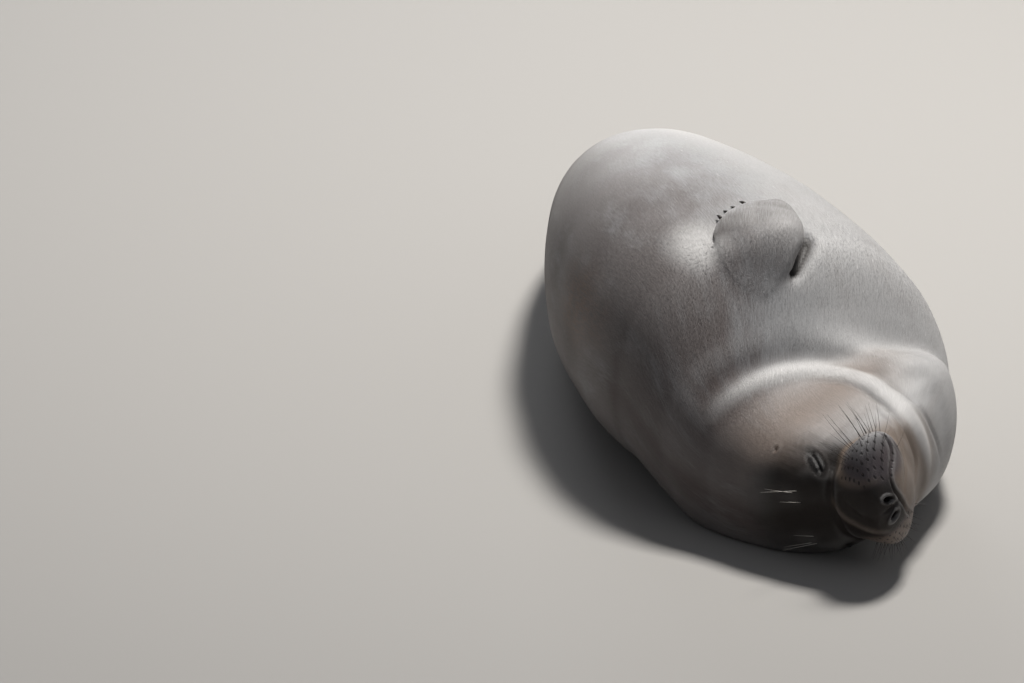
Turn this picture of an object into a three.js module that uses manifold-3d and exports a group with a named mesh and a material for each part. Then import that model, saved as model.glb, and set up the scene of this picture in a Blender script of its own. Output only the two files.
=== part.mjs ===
// A weaned northern elephant seal pup, asleep on its right side: a life-size still model.
// Millimetres, +Z up. The head points to -Y and the tail to +Y, the back faces -X and the
// belly +X, and the left flank is on top. The floor is z = 0.
import * as THREE from "three";
import { mergeVertices } from "three/addons/utils/BufferGeometryUtils.js";
import Module from "manifold-3d";

const wasm = await Module();
wasm.setup();

// Driving sizes of the whole animal
const GAP = 0.3; // between two nodes that touch
const LIP_GAP = 0.8; // between the lips, which shows as the line of the closed mouth
const FOOTPRINT_CENTRE = [106.6, 672.3]; // middle of the outline seen from above: the origin's place
const SECTION_SQUARENESS = 2.2; // 2 is an ellipse, more is boxier
const UNDERSIDE_SQUARENESS = 2.7; // the flesh spreads where it lies on the floor

const HEAD = {
  height: 84, // of the point between the eyes, above the floor
  yaw: 25, // degrees that the nose turns towards the belly
  pitch: 11, // and lifts off the floor
  roll: 17, // and that the cheek on top leans towards the back
  neckFrom: 0, // how far behind the eyes the neck starts to straighten out
  neckTo: 330, // and where it has joined the line of the body
};

// Stations along the body. "at" runs back from the eyes, negative towards the nose. "shift" is
// how far the middle of the section lies towards the belly, and z is its height, which on the
// head follows the head's own line. back, belly, up and down are how far the skin is from that
// middle. Under the body it reaches below the floor, which cuts it flat.
const station = (at, shift, z, back, belly, up, down) => ({
  at, shift, z, back, belly, up, down,
});
const STATIONS = [
  station(-121, 14, 90, 0, 0, 0, 0), // nose tip
  station(-119, 14, 90, 16, 16, 18, 17),
  station(-113, 15, 90, 27, 31, 36, 33),
  station(-101, 18, 90, 36, 50, 54, 49),
  station(-84, 23, 90, 44, 70, 66, 60), // whisker pads
  station(-64, 28, 90, 52, 108, 68, 61),
  station(-40, 33, 90, 60, 152, 68, 69), // behind the nose fold
  station(-20, 38, 90, 71, 194, 67, 76),
  station(0, 42, 90, 80, 230, 69, 83), // eyes
  station(30, 44, 90, 91, 266, 82, 94), // cheeks
  station(60, 43, 94, 99, 284, 92, 104), // throat
  station(100, 42, 104, 108, 291, 102, 117),
  station(150, 42, 118, 132, 286, 111, 130), // collar
  station(220, 38, 134, 172, 275, 142, 142), // shoulders
  station(320, 34, 148, 210, 257, 188, 158),
  station(420, 36, 152, 219, 246, 204, 163), // chest
  station(540, 40, 150, 211, 232, 207, 161),
  station(680, 50, 141, 193, 211, 200, 151), // belly
  station(820, 66, 128, 165, 178, 186, 137),
  station(950, 89, 112, 135, 147, 159, 120),
  station(1070, 116, 92, 107, 114, 118, 98), // loin
  station(1160, 145, 74, 83, 85, 84, 78), // hips
  station(1240, 174, 56, 54, 58, 48, 58), // ankles
  station(1300, 194, 44, 36, 38, 30, 42), // tail
  station(1345, 210, 30, 22, 22, 17, 26),
  station(1368, 218, 26, 0, 0, 0, 0), // tail tip
];
// How much further the throat sags towards the floor than the crown does.
const THROAT_SAG = [[-90, 0], [-40, 0.4], [20, 0.65], [100, 0.4], [220, 0]];

const FACE = {
  mouth: [[150, -27], [106, -31], [80, -36], [50, -44], [22, -54]], // towards nose and crown
  jawEnd: [[28, -74], [50, -104], [72, -150], [150, -150]],
  nostril: { at: [110, 13, -7], size: [14, 4.5, 7] }, // towards nose, cheek and crown
  ear: { at: [-50, 4], sunk: 2, size: [3, 9, 3] }, // towards nose and crown
  lid: { at: [13, 1], sunk: 5, size: [24, 13, 9], slit: [24, 1.6, 4] },
};

// A fore flipper's sections: how far along from the root, how far its middle lies to the front,
// half its width, and its thickness.
const FORE_FLIPPER = {
  sections: [
    [-42, 6, 0, 0],
    [-36, 7, 24, 1],
    [-15, 9, 46, 6],
    [15, 9, 58, 14],
    [45, 8, 64, 17],
    [70, 9, 59, 16],
    [90, 10, 53, 15],
    [105, 13, 46, 13],
    [118, 16, 37, 12],
    [128, 21, 27, 10],
    [137, 24, 14, 8],
    [141, 25, 0, 0],
  ],
  claws: [[80, -46, 54], [100, -37, 46], [113, -27, 40], [122, -15, 32], [131, -2, 22]],
  clawSize: [10, 2.2, 2],
  left: { root: [6, 290], heading: 65.9, lift: 7 },
  right: { root: [186, 284], heading: 41, lift: 0 },
};
const HIND_FLIPPER = {
  digits: [[-18, 236, 24], [-8.5, 204, 17], [0, 190, 15], [8.5, 204, 17], [18, 236, 24]],
  digitThick: 10,
  web: { thick: 5, edge: 3, rootHalfWidth: 30, reach: 0.9, dip: 0.84 },
  left: { ankle: [186, 1222, 58], heading: 42, fall: 14.5 },
  right: { ankle: [178, 1218, 8], heading: 70, fall: 0 },
};

const radians = THREE.MathUtils.degToRad;
const { smoothstep: smooth, lerp, clamp } = THREE.MathUtils;
const bump = (distance, width) => Math.exp(-((distance / width) ** 2));

// A curve through a table's values that never swings past them (monotone cubic).
function throughTable(xs, ys) {
  const steps = xs.slice(1).map((x, i) => x - xs[i]);
  const slopes = steps.map((h, i) => (ys[i + 1] - ys[i]) / h);
  const tangents = xs.map((_, i) => {
    if (i === 0) return slopes[0];
    if (i === xs.length - 1) return slopes[i - 1];
    const [before, after] = [slopes[i - 1], slopes[i]];
    if (before * after <= 0) return 0;
    const [w1, w2] = [2 * steps[i] + steps[i - 1], steps[i] + 2 * steps[i - 1]];
    return (w1 + w2) / (w1 / before + w2 / after);
  });
  return (x) => {
    if (x <= xs[0]) return ys[0];
    if (x >= xs[xs.length - 1]) return ys[ys.length - 1];
    let i = 0;
    while (x > xs[i + 1]) i += 1;
    const [h, t] = [steps[i], (x - xs[i]) / steps[i]];
    return (
      (1 + 2 * t) * (1 - t) ** 2 * ys[i] +
      t * (1 - t) ** 2 * h * tangents[i] +
      t * t * (3 - 2 * t) * ys[i + 1] +
      t * t * (t - 1) * h * tangents[i + 1]
    );
  };
}

const profile = Object.fromEntries(
  ["shift", "z", "back", "belly", "up", "down"].map((key) => [
    key,
    throughTable(STATIONS.map((s) => s.at), STATIONS.map((s) => s[key])),
  ]),
);

const throatSag = throughTable(...[0, 1].map((k) => THROAT_SAG.map((row) => row[k])));

// The head's own directions: towards its nose, its left cheek and its crown.
function headDirections() {
  const turned = (x, y, z) =>
    new THREE.Vector3(x, y, z)
      .applyAxisAngle(new THREE.Vector3(0, 1, 0), radians(-HEAD.roll))
      .applyAxisAngle(new THREE.Vector3(1, 0, 0), radians(-HEAD.pitch))
      .applyAxisAngle(new THREE.Vector3(0, 0, 1), radians(HEAD.yaw));
  return { nose: turned(0, -1, 0), cheek: turned(0, 0, 1), crown: turned(-1, 0, 0) };
}
const head = headDirections();
const EYES = new THREE.Vector3(0, 0, HEAD.height);
const UP = new THREE.Vector3(0, 0, 1);
const ORIGIN = new THREE.Vector2(0, 0);

const inHead = (nose, cheek, crown) =>
  EYES.clone()
    .addScaledVector(head.nose, nose)
    .addScaledVector(head.cheek, cheek)
    .addScaledVector(head.crown, crown);

// The middle of the section at a station, and its directions towards the belly and up.
function section(at) {
  const straight = smooth(at, HEAD.neckFrom, HEAD.neckTo);
  const belly = head.crown.clone().negate()
    .lerp(new THREE.Vector3(1, 0, 0), straight).normalize();
  const up = head.cheek.clone().lerp(new THREE.Vector3(0, 0, 1), straight);
  up.addScaledVector(belly, -up.dot(belly)).normalize();
  const middle = inHead(-at, 0, 0)
    .lerp(new THREE.Vector3(0, at, profile.z(at)), straight)
    .addScaledVector(belly, profile.shift(at));
  return { middle, belly, up };
}

// Forms of the face that stand out of the plain sections, or sink into them. Each is placed
// from the eyes' middle towards nose, cheek and crown, and the paired ones are on both sides.
const FACE_FORMS = [
  { at: [98, 0, 10], width: 26, height: 7 }, // nose bulb
  { at: [80, 58, -30], width: 27, height: 13, paired: true }, // whisker pad
  { at: [40, 56, -8], width: 17, height: -6, paired: true }, // hollow behind the pad
  { at: [-8, 34, 34], width: 24, height: 4, paired: true }, // brow
  { at: [4, 56, 12], width: 18, height: 4, paired: true }, // eye mound
  { at: [28, 0, 32], width: 24, height: -4 }, // dip between the brows
  { at: [84, 0, -66], width: 26, height: 5 }, // chin
  { at: [-30, 74, -30], width: 44, height: 5, paired: true }, // cheek
];
const NOSE_FOLD = { at: 42, width: 6, depth: 4, from: -36, to: 2 };

function faceRelief(point) {
  const from = point.clone().sub(EYES);
  const [nose, cheek, crown] = [head.nose, head.cheek, head.crown].map((v) => from.dot(v));
  const forms = FACE_FORMS.reduce((sum, form) => {
    const sideways = form.paired ? Math.abs(cheek) : cheek;
    const distance = Math.hypot(nose - form.at[0], sideways - form.at[1], crown - form.at[2]);
    return sum + form.height * bump(distance, form.width);
  }, 0);
  const overNose = smooth(crown, NOSE_FOLD.from, NOSE_FOLD.to);
  return forms - NOSE_FOLD.depth * overNose * bump(nose - NOSE_FOLD.at, NOSE_FOLD.width);
}

// Rolls of fat where the chin is tucked in. "round" is where a crease is deepest, in degrees
// round the body from the belly over the flank on top, and it fades out towards the nape.
const NECK_CREASES = [
  { at: -66, depth: 7, width: 9, round: 0, fade: 0.35 },
  { at: -20, depth: 5, width: 8, round: 15, fade: 0.2 },
  { at: 44, depth: 5, width: 9, round: 50, fade: -0.2 },
  { at: 78, depth: 5, width: 10, round: 58, fade: -0.3 },
  { at: 114, depth: 4, width: 12, round: 66, fade: -0.4 },
];

const neckRelief = (at, angle) =>
  NECK_CREASES.reduce((sum, crease) => {
    const strength = smooth(Math.cos(angle - radians(crease.round)), crease.fade, 0.85);
    return sum - crease.depth * strength * bump(at - crease.at, crease.width);
  }, 0);

const rounded = (value, squareness) => Math.sign(value) * Math.abs(value) ** (2 / squareness);
const RELIEF_FULL_FROM = 20; // the relief fades out within this distance of a tip

// The point of the skin at a station and an angle round it, from the belly (0) over the flank
// on top (90 degrees).
function skinPoint(at, angle) {
  const { middle, belly, up } = section(at);
  const [c, s] = [Math.cos(angle), Math.sin(angle)];
  const spread = smooth(at, 0, 200);
  const squareness = s < 0
    ? lerp(SECTION_SQUARENESS, UNDERSIDE_SQUARENESS, spread)
    : SECTION_SQUARENESS;
  const sideways = rounded(c, squareness) * (c > 0 ? profile.belly(at) : profile.back(at));
  const sagged = profile.down(at) * (1 + throatSag(at) * smooth(c, 0, 0.8));
  const upwards = rounded(s, squareness) * (s > 0 ? profile.up(at) : sagged);
  const radial = belly.multiplyScalar(sideways).addScaledVector(up, upwards);
  const point = middle.add(radial);
  const reach = radial.length();
  if (reach < GAP) return point;
  const relief = (faceRelief(point) + neckRelief(at, angle)) * Math.min(1, reach / RELIEF_FULL_FROM);
  return point.addScaledVector(radial, relief / reach);
}

// Walks along the skin from a station and an angle, until both misses are nought.
const WALK = { steps: 14, at: 0.5, angle: 0.002 };

function onSkin(startAt, startAngle, misses) {
  let [at, angle] = [startAt, startAngle];
  for (let i = 0; i < WALK.steps; i += 1) {
    const [a, b] = misses(skinPoint(at, angle));
    const further = misses(skinPoint(at + WALK.at, angle));
    const rounder = misses(skinPoint(at, angle + WALK.angle));
    const [aAt, bAt] = [(further[0] - a) / WALK.at, (further[1] - b) / WALK.at];
    const [aAngle, bAngle] = [(rounder[0] - a) / WALK.angle, (rounder[1] - b) / WALK.angle];
    const spin = aAt * bAngle - aAngle * bAt;
    at -= (a * bAngle - b * aAngle) / spin;
    angle -= (aAt * b - bAt * a) / spin;
  }
  return skinPoint(at, angle);
}

// The skin's point on the left or right of the face, so far from the eyes towards nose and crown.
const onFace = (side, nose, crown) =>
  onSkin(-nose, side * radians(120), (p) => {
    const from = p.sub(EYES);
    return [from.dot(head.nose) - nose, from.dot(head.crown) - crown];
  });

// Solids
function asManifold(positions, triangles) {
  const build = () =>
    new wasm.Manifold(new wasm.Mesh({
      numProp: 3, vertProperties: positions, triVerts: triangles,
    }));
  const made = build();
  if (made.volume() > 0) return made;
  for (let i = 0; i < triangles.length; i += 3) {
    [triangles[i + 1], triangles[i + 2]] = [triangles[i + 2], triangles[i + 1]];
  }
  return build();
}

const WELD = 1e-3; // how near two corners are when they are one

function toSolid(geometry) {
  const bare = new THREE.BufferGeometry();
  bare.setAttribute("position", geometry.attributes.position);
  bare.setIndex(geometry.index);
  const merged = mergeVertices(bare, WELD);
  const corners = merged.index.array;
  const kept = [];
  for (let i = 0; i < corners.length; i += 3) {
    const [a, b, c] = corners.subarray(i, i + 3);
    if (a !== b && b !== c && c !== a) kept.push(a, b, c);
  }
  return asManifold(merged.attributes.position.array, new Uint32Array(kept));
}

function toGeometry(solid) {
  const mesh = solid.getMesh();
  const geometry = new THREE.BufferGeometry();
  geometry.setAttribute("position", new THREE.BufferAttribute(mesh.vertProperties, 3));
  geometry.setIndex(new THREE.BufferAttribute(mesh.triVerts, 1));
  geometry.computeVertexNormals();
  return geometry;
}

// Only the largest closed body of a solid, so that no loose scrap stays after a cut.
const largest = (solid) =>
  solid.decompose().reduce((best, body) => (body.volume() > best.volume() ? body : best));

const onFloor = (solid) => solid.trimByPlane([0, 0, 1], 0);

// A solid with its neighbour cut away, and the gap between them as well.
const SIDEWAYS = [[1, 0, 0], [-1, 0, 0], [0, 1, 0], [0, -1, 0], [0, 0, 1], [0, 0, -1]];
const clearOf = (solid, neighbour) =>
  SIDEWAYS.reduce(
    (rest, way) => rest.subtract(neighbour.translate(way.map((d) => d * GAP * 1.3))), solid);

// A sphere whose corners are all moved: place gets how far down a corner is from the first pole
// (0 to 1), how far round (0 to 1), and gives its new point.
function shapedSphere(columns, rows, place) {
  const sphere = new THREE.SphereGeometry(1, columns, rows);
  const { position, uv } = sphere.attributes;
  for (let i = 0; i < position.count; i += 1) {
    const row = Math.round((1 - uv.getY(i)) * rows);
    const isPole = row === 0 || row === rows;
    const column = isPole ? 0 : Math.round(uv.getX(i) * columns) % columns;
    const point = place(row / rows, column / columns);
    position.setXYZ(i, point.x, point.y, point.z);
  }
  return toSolid(sphere);
}

// An ellipsoid with its half axes along three directions.
function ellipsoid(centre, directions, size, columns = 16, rows = 10) {
  const turn = new THREE.Matrix4().makeBasis(...directions).setPosition(centre);
  const geometry = new THREE.SphereGeometry(1, columns, rows).scale(...size).applyMatrix4(turn);
  return toSolid(geometry);
}

// Rows are spread evenly in this measure of length, which counts the face's millimetres more.
const rowMeasure = throughTable([-121, -113, -90, 0, 150, 1368], [0, 3, 7, 20, 36, 68]);
const SEARCH_STEPS = 40;

function stationAt(from, to, share) {
  const wanted = lerp(rowMeasure(from), rowMeasure(to), share);
  let [low, high] = [from, to];
  for (let i = 0; i < SEARCH_STEPS; i += 1) {
    const middle = (low + high) / 2;
    if (rowMeasure(middle) < wanted) low = middle;
    else high = middle;
  }
  return (low + high) / 2;
}

// A closed length of the body between two stations: a sphere's rows follow the stations and its
// poles close the ends, flat or at a tip.
const COLUMNS = 48;

function bodyLength(from, to) {
  const rows = Math.max(3, Math.round(rowMeasure(to) - rowMeasure(from))) + 2;
  return shapedSphere(COLUMNS, rows, (down, round) => {
    const at = stationAt(from, to, clamp((down * rows - 1) / (rows - 2), 0, 1));
    const isPole = down === 0 || down === 1;
    return isPole ? section(at).middle : skinPoint(at, 2 * Math.PI * round);
  });
}

// A slab across the whole face, over an outline drawn from the head's left side. The outline's
// points go towards nose and crown.
const FACE_HALF_WIDTH = 200;

function faceSlab(outline) {
  const shape = new THREE.Shape(outline.map(([nose, crown]) => new THREE.Vector2(nose, crown)));
  const slab = new THREE.ExtrudeGeometry(shape, { depth: 2 * FACE_HALF_WIDTH, bevelEnabled: false });
  slab.translate(0, 0, -FACE_HALF_WIDTH);
  slab.applyMatrix4(new THREE.Matrix4()
    .makeBasis(head.nose, head.crown, head.nose.clone().cross(head.crown))
    .setPosition(EYES));
  return toSolid(slab);
}

const jawOutline = [...FACE.mouth, ...FACE.jawEnd];

const headAxes = [head.nose, head.cheek, head.crown];

// The closed lids of one eye, and the socket they lie in.
function lidAxes(side) {
  const direction = (nose, cheek, crown) =>
    inHead(nose, side * cheek, crown).sub(EYES).normalize();
  const out = direction(0.45, 0.75, 0.45);
  const along = direction(30, -35, 10);
  along.addScaledVector(out, -along.dot(out)).normalize();
  return [along, out.clone().cross(along), out];
}

function lids(side, outward = 0) {
  const { at, sunk, size } = FACE.lid;
  const axes = lidAxes(side);
  const centre = onFace(side, ...at).addScaledVector(axes[2], -sunk);
  return ellipsoid(centre, axes, size.map((half) => half + outward), 16, 12);
}

function lidSlit(side) {
  const { at, sunk, size, slit } = FACE.lid;
  const axes = lidAxes(side);
  const onTop = onFace(side, ...at).addScaledVector(axes[2], size[2] - sunk);
  return ellipsoid(onTop, axes, slit, 14, 6);
}

function nostril(side) {
  const { at: [nose, cheek, crown], size } = FACE.nostril;
  return ellipsoid(inHead(nose, side * cheek, crown), headAxes, size, 10, 8);
}

function ear(side) {
  const { at, sunk, size } = FACE.ear;
  const centre = onFace(side, ...at).addScaledVector(head.cheek, -side * sunk);
  return ellipsoid(centre, headAxes, size, 8, 6);
}

// Flippers
const flankHeight = (x, y) =>
  onSkin(y, Math.PI / 2, (p) => [p.x - x, p.y - y]).z;

// A blade of flesh lying on the ground: its sections are lens-shaped, flat below, thick at the
// front edge and thin at the rear one.
const BLADE = { rows: 13, columns: 28, edge: 0.62, frontThick: 1.25, rearThick: 0.6 };

function blade({ root, heading, lift }, ground) {
  const table = FORE_FLIPPER.sections;
  const us = table.map(([u]) => u);
  const [mid, half, thick] = [1, 2, 3].map((k) => throughTable(us, table.map((row) => row[k])));
  const onGround = (u, v, height) => {
    const [c, s] = [Math.cos(radians(heading)), Math.sin(radians(heading))];
    const [x, y] = [root[0] + u * c + v * s, root[1] + u * s - v * c];
    const raised = lift * smooth(v, 10, 70) * smooth(u, 0, 50);
    return new THREE.Vector3(x, y, ground(x, y) + raised + height);
  };
  const flesh = shapedSphere(BLADE.columns, BLADE.rows, (down, round) => {
    const u = lerp(us[0], us[us.length - 1], (1 - Math.cos(Math.PI * down)) / 2);
    const angle = 2 * Math.PI * round;
    const across = Math.cos(angle);
    const lean = lerp(BLADE.rearThick, BLADE.frontThick, (across + 1) / 2);
    const rise = Math.max(0, Math.sin(angle)) ** BLADE.edge * lean * thick(u);
    return onGround(u, mid(u) + half(u) * across, half(u) > 0 ? rise : 0);
  });
  const claws = FORE_FLIPPER.claws.map(([u, v, turn]) => {
    const base = onGround(u, v, FORE_FLIPPER.clawSize[2] + 2);
    const yaw = radians(heading - turn + 90);
    const along = new THREE.Vector3(Math.cos(yaw), Math.sin(yaw), 0);
    return ellipsoid(base, [along, UP.clone().cross(along), UP], FORE_FLIPPER.clawSize, 6, 5);
  });
  return flesh.add(wasm.Manifold.union(claws));
}

// A hind flipper: five digits fanned out from the ankle, the outer two longest, with a web.
function hindFlipper({ ankle, heading, fall }) {
  const { digits, digitThick, web } = HIND_FLIPPER;
  const fingers = digits.map(([turn, long, wide]) =>
    shapedSphere(10, 8, (down, round) => {
      const share = (1 - Math.cos(Math.PI * down)) / 2;
      const u = long * share;
      const swell = Math.sqrt(1 - share ** 7) * Math.sqrt(1 - (1 - share) ** 12)
        * lerp(0.8, 1.1, share);
      const angle = 2 * Math.PI * round;
      const [v, w] = [wide * swell * Math.cos(angle), digitThick * swell * Math.sin(angle)];
      return new THREE.Vector3(u, v, w).applyAxisAngle(UP, radians(turn));
    }));
  const webEdge = digits.flatMap(([turn, long], k) => {
    const tip = new THREE.Vector2(long * web.reach, 0).rotateAround(ORIGIN, radians(turn));
    if (k === 0) return [tip];
    const [before, length] = digits[k - 1];
    const dip = new THREE.Vector2(Math.min(long, length) * web.dip, 0)
      .rotateAround(ORIGIN, radians((turn + before) / 2));
    return [dip, tip];
  });
  const root = [web.rootHalfWidth, -web.rootHalfWidth].map((v) => new THREE.Vector2(0, v));
  const sheet = new THREE.ExtrudeGeometry(new THREE.Shape([...webEdge, ...root]), {
    depth: web.thick, bevelThickness: web.edge, bevelSize: web.edge, bevelSegments: 1,
  });
  sheet.translate(0, 0, -web.thick / 2);
  return wasm.Manifold.union([toSolid(sheet), ...fingers])
    .rotate([0, fall, heading]).translate(ankle);
}

// The nodes
const LENGTHS = [
  { name: "neck", from: 58, to: 188 },
  { name: "chest", from: 188, to: 520 },
  { name: "belly", from: 520, to: 880 },
  { name: "hips", from: 880, to: 1240 },
  { name: "tail", from: 1240, to: 1368 },
];
const COLOURS = { coat: 0x8d8680, face: 0x4a423e, flipper: 0x6f6760, lid: 0x3a3330 };

const seal = new THREE.Group();

function addNode(name, solid, colour, roughness) {
  const skin = new THREE.MeshStandardMaterial({ color: colour, roughness, metalness: 0 });
  const mesh = new THREE.Mesh(toGeometry(largest(solid)), skin);
  mesh.name = name;
  seal.add(mesh);
}

function buildHead() {
  const sides = [1, -1];
  const pits = sides.flatMap((side) => [nostril(side), ear(side), lids(side, GAP)]);
  const whole = onFloor(bodyLength(STATIONS[0].at, LENGTHS[0].from - GAP))
    .subtract(wasm.Manifold.union(pits));
  const lipLine = faceSlab(jawOutline);
  const jaw = faceSlab(jawOutline.map(([nose, crown], i) =>
    (i < FACE.mouth.length + 1 ? [nose + LIP_GAP, crown - LIP_GAP] : [nose, crown])));
  addNode("head", whole.subtract(lipLine), COLOURS.face, 0.55);
  addNode("lower_jaw", whole.intersect(jaw), COLOURS.face, 0.55);
  addNode("eyelid_left", lids(1).subtract(lidSlit(1)), COLOURS.lid, 0.4);
  addNode("eyelid_right", lids(-1).subtract(lidSlit(-1)), COLOURS.lid, 0.4);
}

function buildBody() {
  const built = {};
  for (const { name, from, to } of LENGTHS) {
    built[name] = onFloor(bodyLength(from, to - GAP));
    addNode(name, built[name], COLOURS.coat, 0.6);
  }
  return built;
}

function buildFlippers({ chest, hips, tail }) {
  const { left, right } = FORE_FLIPPER;
  const onFlank = blade(left, (x, y) => flankHeight(x, y) + 2 * GAP);
  const underBelly = clearOf(blade(right, () => 0), chest);
  addNode("fore_flipper_left", onFlank, COLOURS.flipper, 0.55);
  addNode("fore_flipper_right", underBelly, COLOURS.flipper, 0.55);
  const lower = onFloor(hindFlipper(HIND_FLIPPER.right));
  const upper = onFloor(hindFlipper(HIND_FLIPPER.left));
  const rear = hips.add(tail);
  const lowerFree = largest(clearOf(lower, rear));
  const upperFree = largest(clearOf(clearOf(upper, rear), lowerFree));
  addNode("hind_flipper_right", lowerFree, COLOURS.flipper, 0.6);
  addNode("hind_flipper_left", upperFree, COLOURS.flipper, 0.6);
}

buildHead();
buildFlippers(buildBody());
seal.position.set(-FOOTPRINT_CENTRE[0], -FOOTPRINT_CENTRE[1], 0);

export default seal;
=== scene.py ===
"""A sleeping elephant seal pup, dressed: one skin with its short coat, whiskers and claws.

The forms are worked out in millimetres, with the point between the eyes over (0, 0), and made
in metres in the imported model's frame: the head points to -Y and the tail to +Y, the back faces
-X and the belly +X, the left flank is on top, and the floor is z = 0.
"""
import logging
import math
from collections.abc import Callable
from dataclasses import dataclass, field
from enum import Enum

import bpy
import numpy as np
from mathutils import Matrix, Vector
from mathutils.bvhtree import BVHTree
from mathutils.kdtree import KDTree


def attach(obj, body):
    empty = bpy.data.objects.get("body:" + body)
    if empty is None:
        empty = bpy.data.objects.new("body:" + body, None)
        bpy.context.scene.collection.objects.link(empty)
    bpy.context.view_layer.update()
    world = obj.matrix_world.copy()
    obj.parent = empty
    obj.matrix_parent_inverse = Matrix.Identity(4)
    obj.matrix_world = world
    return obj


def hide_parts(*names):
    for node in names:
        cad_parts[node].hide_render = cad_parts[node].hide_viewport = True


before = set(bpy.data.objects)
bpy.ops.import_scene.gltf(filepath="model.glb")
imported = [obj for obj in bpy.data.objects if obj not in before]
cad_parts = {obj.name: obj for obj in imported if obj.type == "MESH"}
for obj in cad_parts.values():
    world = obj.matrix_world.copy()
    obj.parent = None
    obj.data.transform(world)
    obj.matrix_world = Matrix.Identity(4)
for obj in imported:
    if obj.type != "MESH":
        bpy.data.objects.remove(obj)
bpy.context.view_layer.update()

BODY = "root"
LOG = logging.getLogger("seal")
Array = np.ndarray
Pair = tuple[float, float]
Triple = tuple[float, float, float]
Mesh, Object = bpy.types.Mesh, bpy.types.Object
Material, Socket = bpy.types.Material, bpy.types.NodeSocket

FOOTPRINT_CENTRE = np.array([106.6, 672.3, 0.0])  # mm, where the frame's origin lies
MM = 0.001
RIGHT_CLAW_HEIGHT = 8.0  # mm, of the lower fore flipper's claws over the floor
CLAW_RISE = 0.4  # mm, of the upper fore flipper's claws over the skin
HIGH_UP = 1000.0  # mm, above everything
NO_GROUND = 300.0  # mm, the flank's height, used where nothing lies under a place


def smooth(x: Array, low: float, high: float) -> Array:
    """A soft step from 0 at low to 1 at high."""
    share = np.clip((np.asarray(x, float) - low) / (high - low), 0.0, 1.0)
    return share * share * (3 - 2 * share)


def bump(distance: Array, width: float) -> Array:
    """A soft bell of height 1 round a distance of 0."""
    return np.exp(-((distance / width) ** 2))


def rounded(value: Array, squareness: Array) -> Array:
    """A cosine or sine turned into that of a squarer or rounder oval."""
    return np.sign(value) * np.abs(value) ** (2 / squareness)


def lerp(low: Array, high: Array, share: Array) -> Array:
    """The value that lies a share of the way from low to high."""
    return low + (high - low) * share


def unit(vectors: Array) -> Array:
    """Vectors of length 1 along the last axis."""
    return vectors / np.maximum(np.linalg.norm(vectors, axis=-1, keepdims=True), 1e-9)


def to_frame(points: Array) -> Array:
    """Points in metres in the model's frame, from millimetres from the eyes."""
    return (points - FOOTPRINT_CENTRE) * MM


def linked(name: str, data: bpy.types.ID) -> Object:
    """A new object in the scene."""
    made = bpy.data.objects.new(name, data)
    bpy.context.scene.collection.objects.link(made)
    return made


class Profile:
    """A curve through a table's values that never swings past them."""

    def __init__(self, xs: list[float], ys: list[float]) -> None:
        """Works out the slope at each value.

        Args:
            xs: where the values are, rising.
            ys: the values.
        """
        self.xs, self.ys = np.array(xs, float), np.array(ys, float)
        steps = np.diff(self.xs)
        slopes = np.diff(self.ys) / steps
        before, after = slopes[:-1], slopes[1:]
        near, far = 2 * steps[1:] + steps[:-1], steps[1:] + 2 * steps[:-1]
        turning = before * after <= 0
        safe_before, safe_after = (np.where(turning, 1.0, s) for s in (before, after))
        inner = (near + far) / (near / safe_before + far / safe_after)
        self.tangents = np.concatenate([slopes[:1], np.where(turning, 0.0, inner), slopes[-1:]])

    def __call__(self, x: Array) -> Array:
        """The curve's value at x."""
        x = np.clip(np.asarray(x, float), self.xs[0], self.xs[-1])
        i = np.clip(np.searchsorted(self.xs, x, side="right") - 1, 0, len(self.xs) - 2)
        step = self.xs[i + 1] - self.xs[i]
        t = (x - self.xs[i]) / step
        return (
            (1 + 2 * t) * (1 - t) ** 2 * self.ys[i]
            + t * (1 - t) ** 2 * step * self.tangents[i]
            + t * t * (3 - 2 * t) * self.ys[i + 1]
            + t * t * (t - 1) * step * self.tangents[i + 1]
        )


@dataclass(frozen=True)
class HeadPose:
    """How the head lies: its directions towards the nose, the left cheek and the crown."""

    height: float = 84.0
    yaw: float = 25.0
    pitch: float = 11.0
    roll: float = 17.0

    def turned(self, x: float, y: float, z: float) -> Array:
        """A direction of the level head, turned as the head lies."""
        turn = (
            Matrix.Rotation(math.radians(self.yaw), 3, "Z")
            @ Matrix.Rotation(math.radians(-self.pitch), 3, "X")
            @ Matrix.Rotation(math.radians(-self.roll), 3, "Y")
        )
        return np.array(turn @ Vector((x, y, z)))

    @property
    def axes(self) -> Array:
        """The directions towards nose, left cheek and crown, one to a row."""
        return np.array([self.turned(0, -1, 0), self.turned(0, 0, 1), self.turned(-1, 0, 0)])

    @property
    def eyes(self) -> Array:
        """The point between the eyes."""
        return np.array([0.0, 0.0, self.height])

    def coordinates(self, points: Array) -> Array:
        """How far points lie from the eyes towards nose, left cheek and crown."""
        return (points - self.eyes) @ self.axes.T

    def place(self, nose: float, cheek: float, crown: float) -> Array:
        """The point so far from the eyes towards nose, left cheek and crown."""
        return self.eyes + np.array([nose, cheek, crown]) @ self.axes


@dataclass(frozen=True)
class FaceMarks:
    """Where the nostrils, the whisker pads and their pits lie, in the head's directions."""

    nostril: Triple = (110.0, 13.0, -7.0)
    pad: Triple = (84.0, 56.0, -27.0)  # with the crown direction squashed
    pad_squash: Triple = (1.0, 1.0, 0.75)
    pit_rows: float = 8.4  # how far apart the rows of pits are, along the crown
    pit_columns: float = 7.4  # how far apart the pits are in a row, along the nose


MARKS = FaceMarks()


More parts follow.
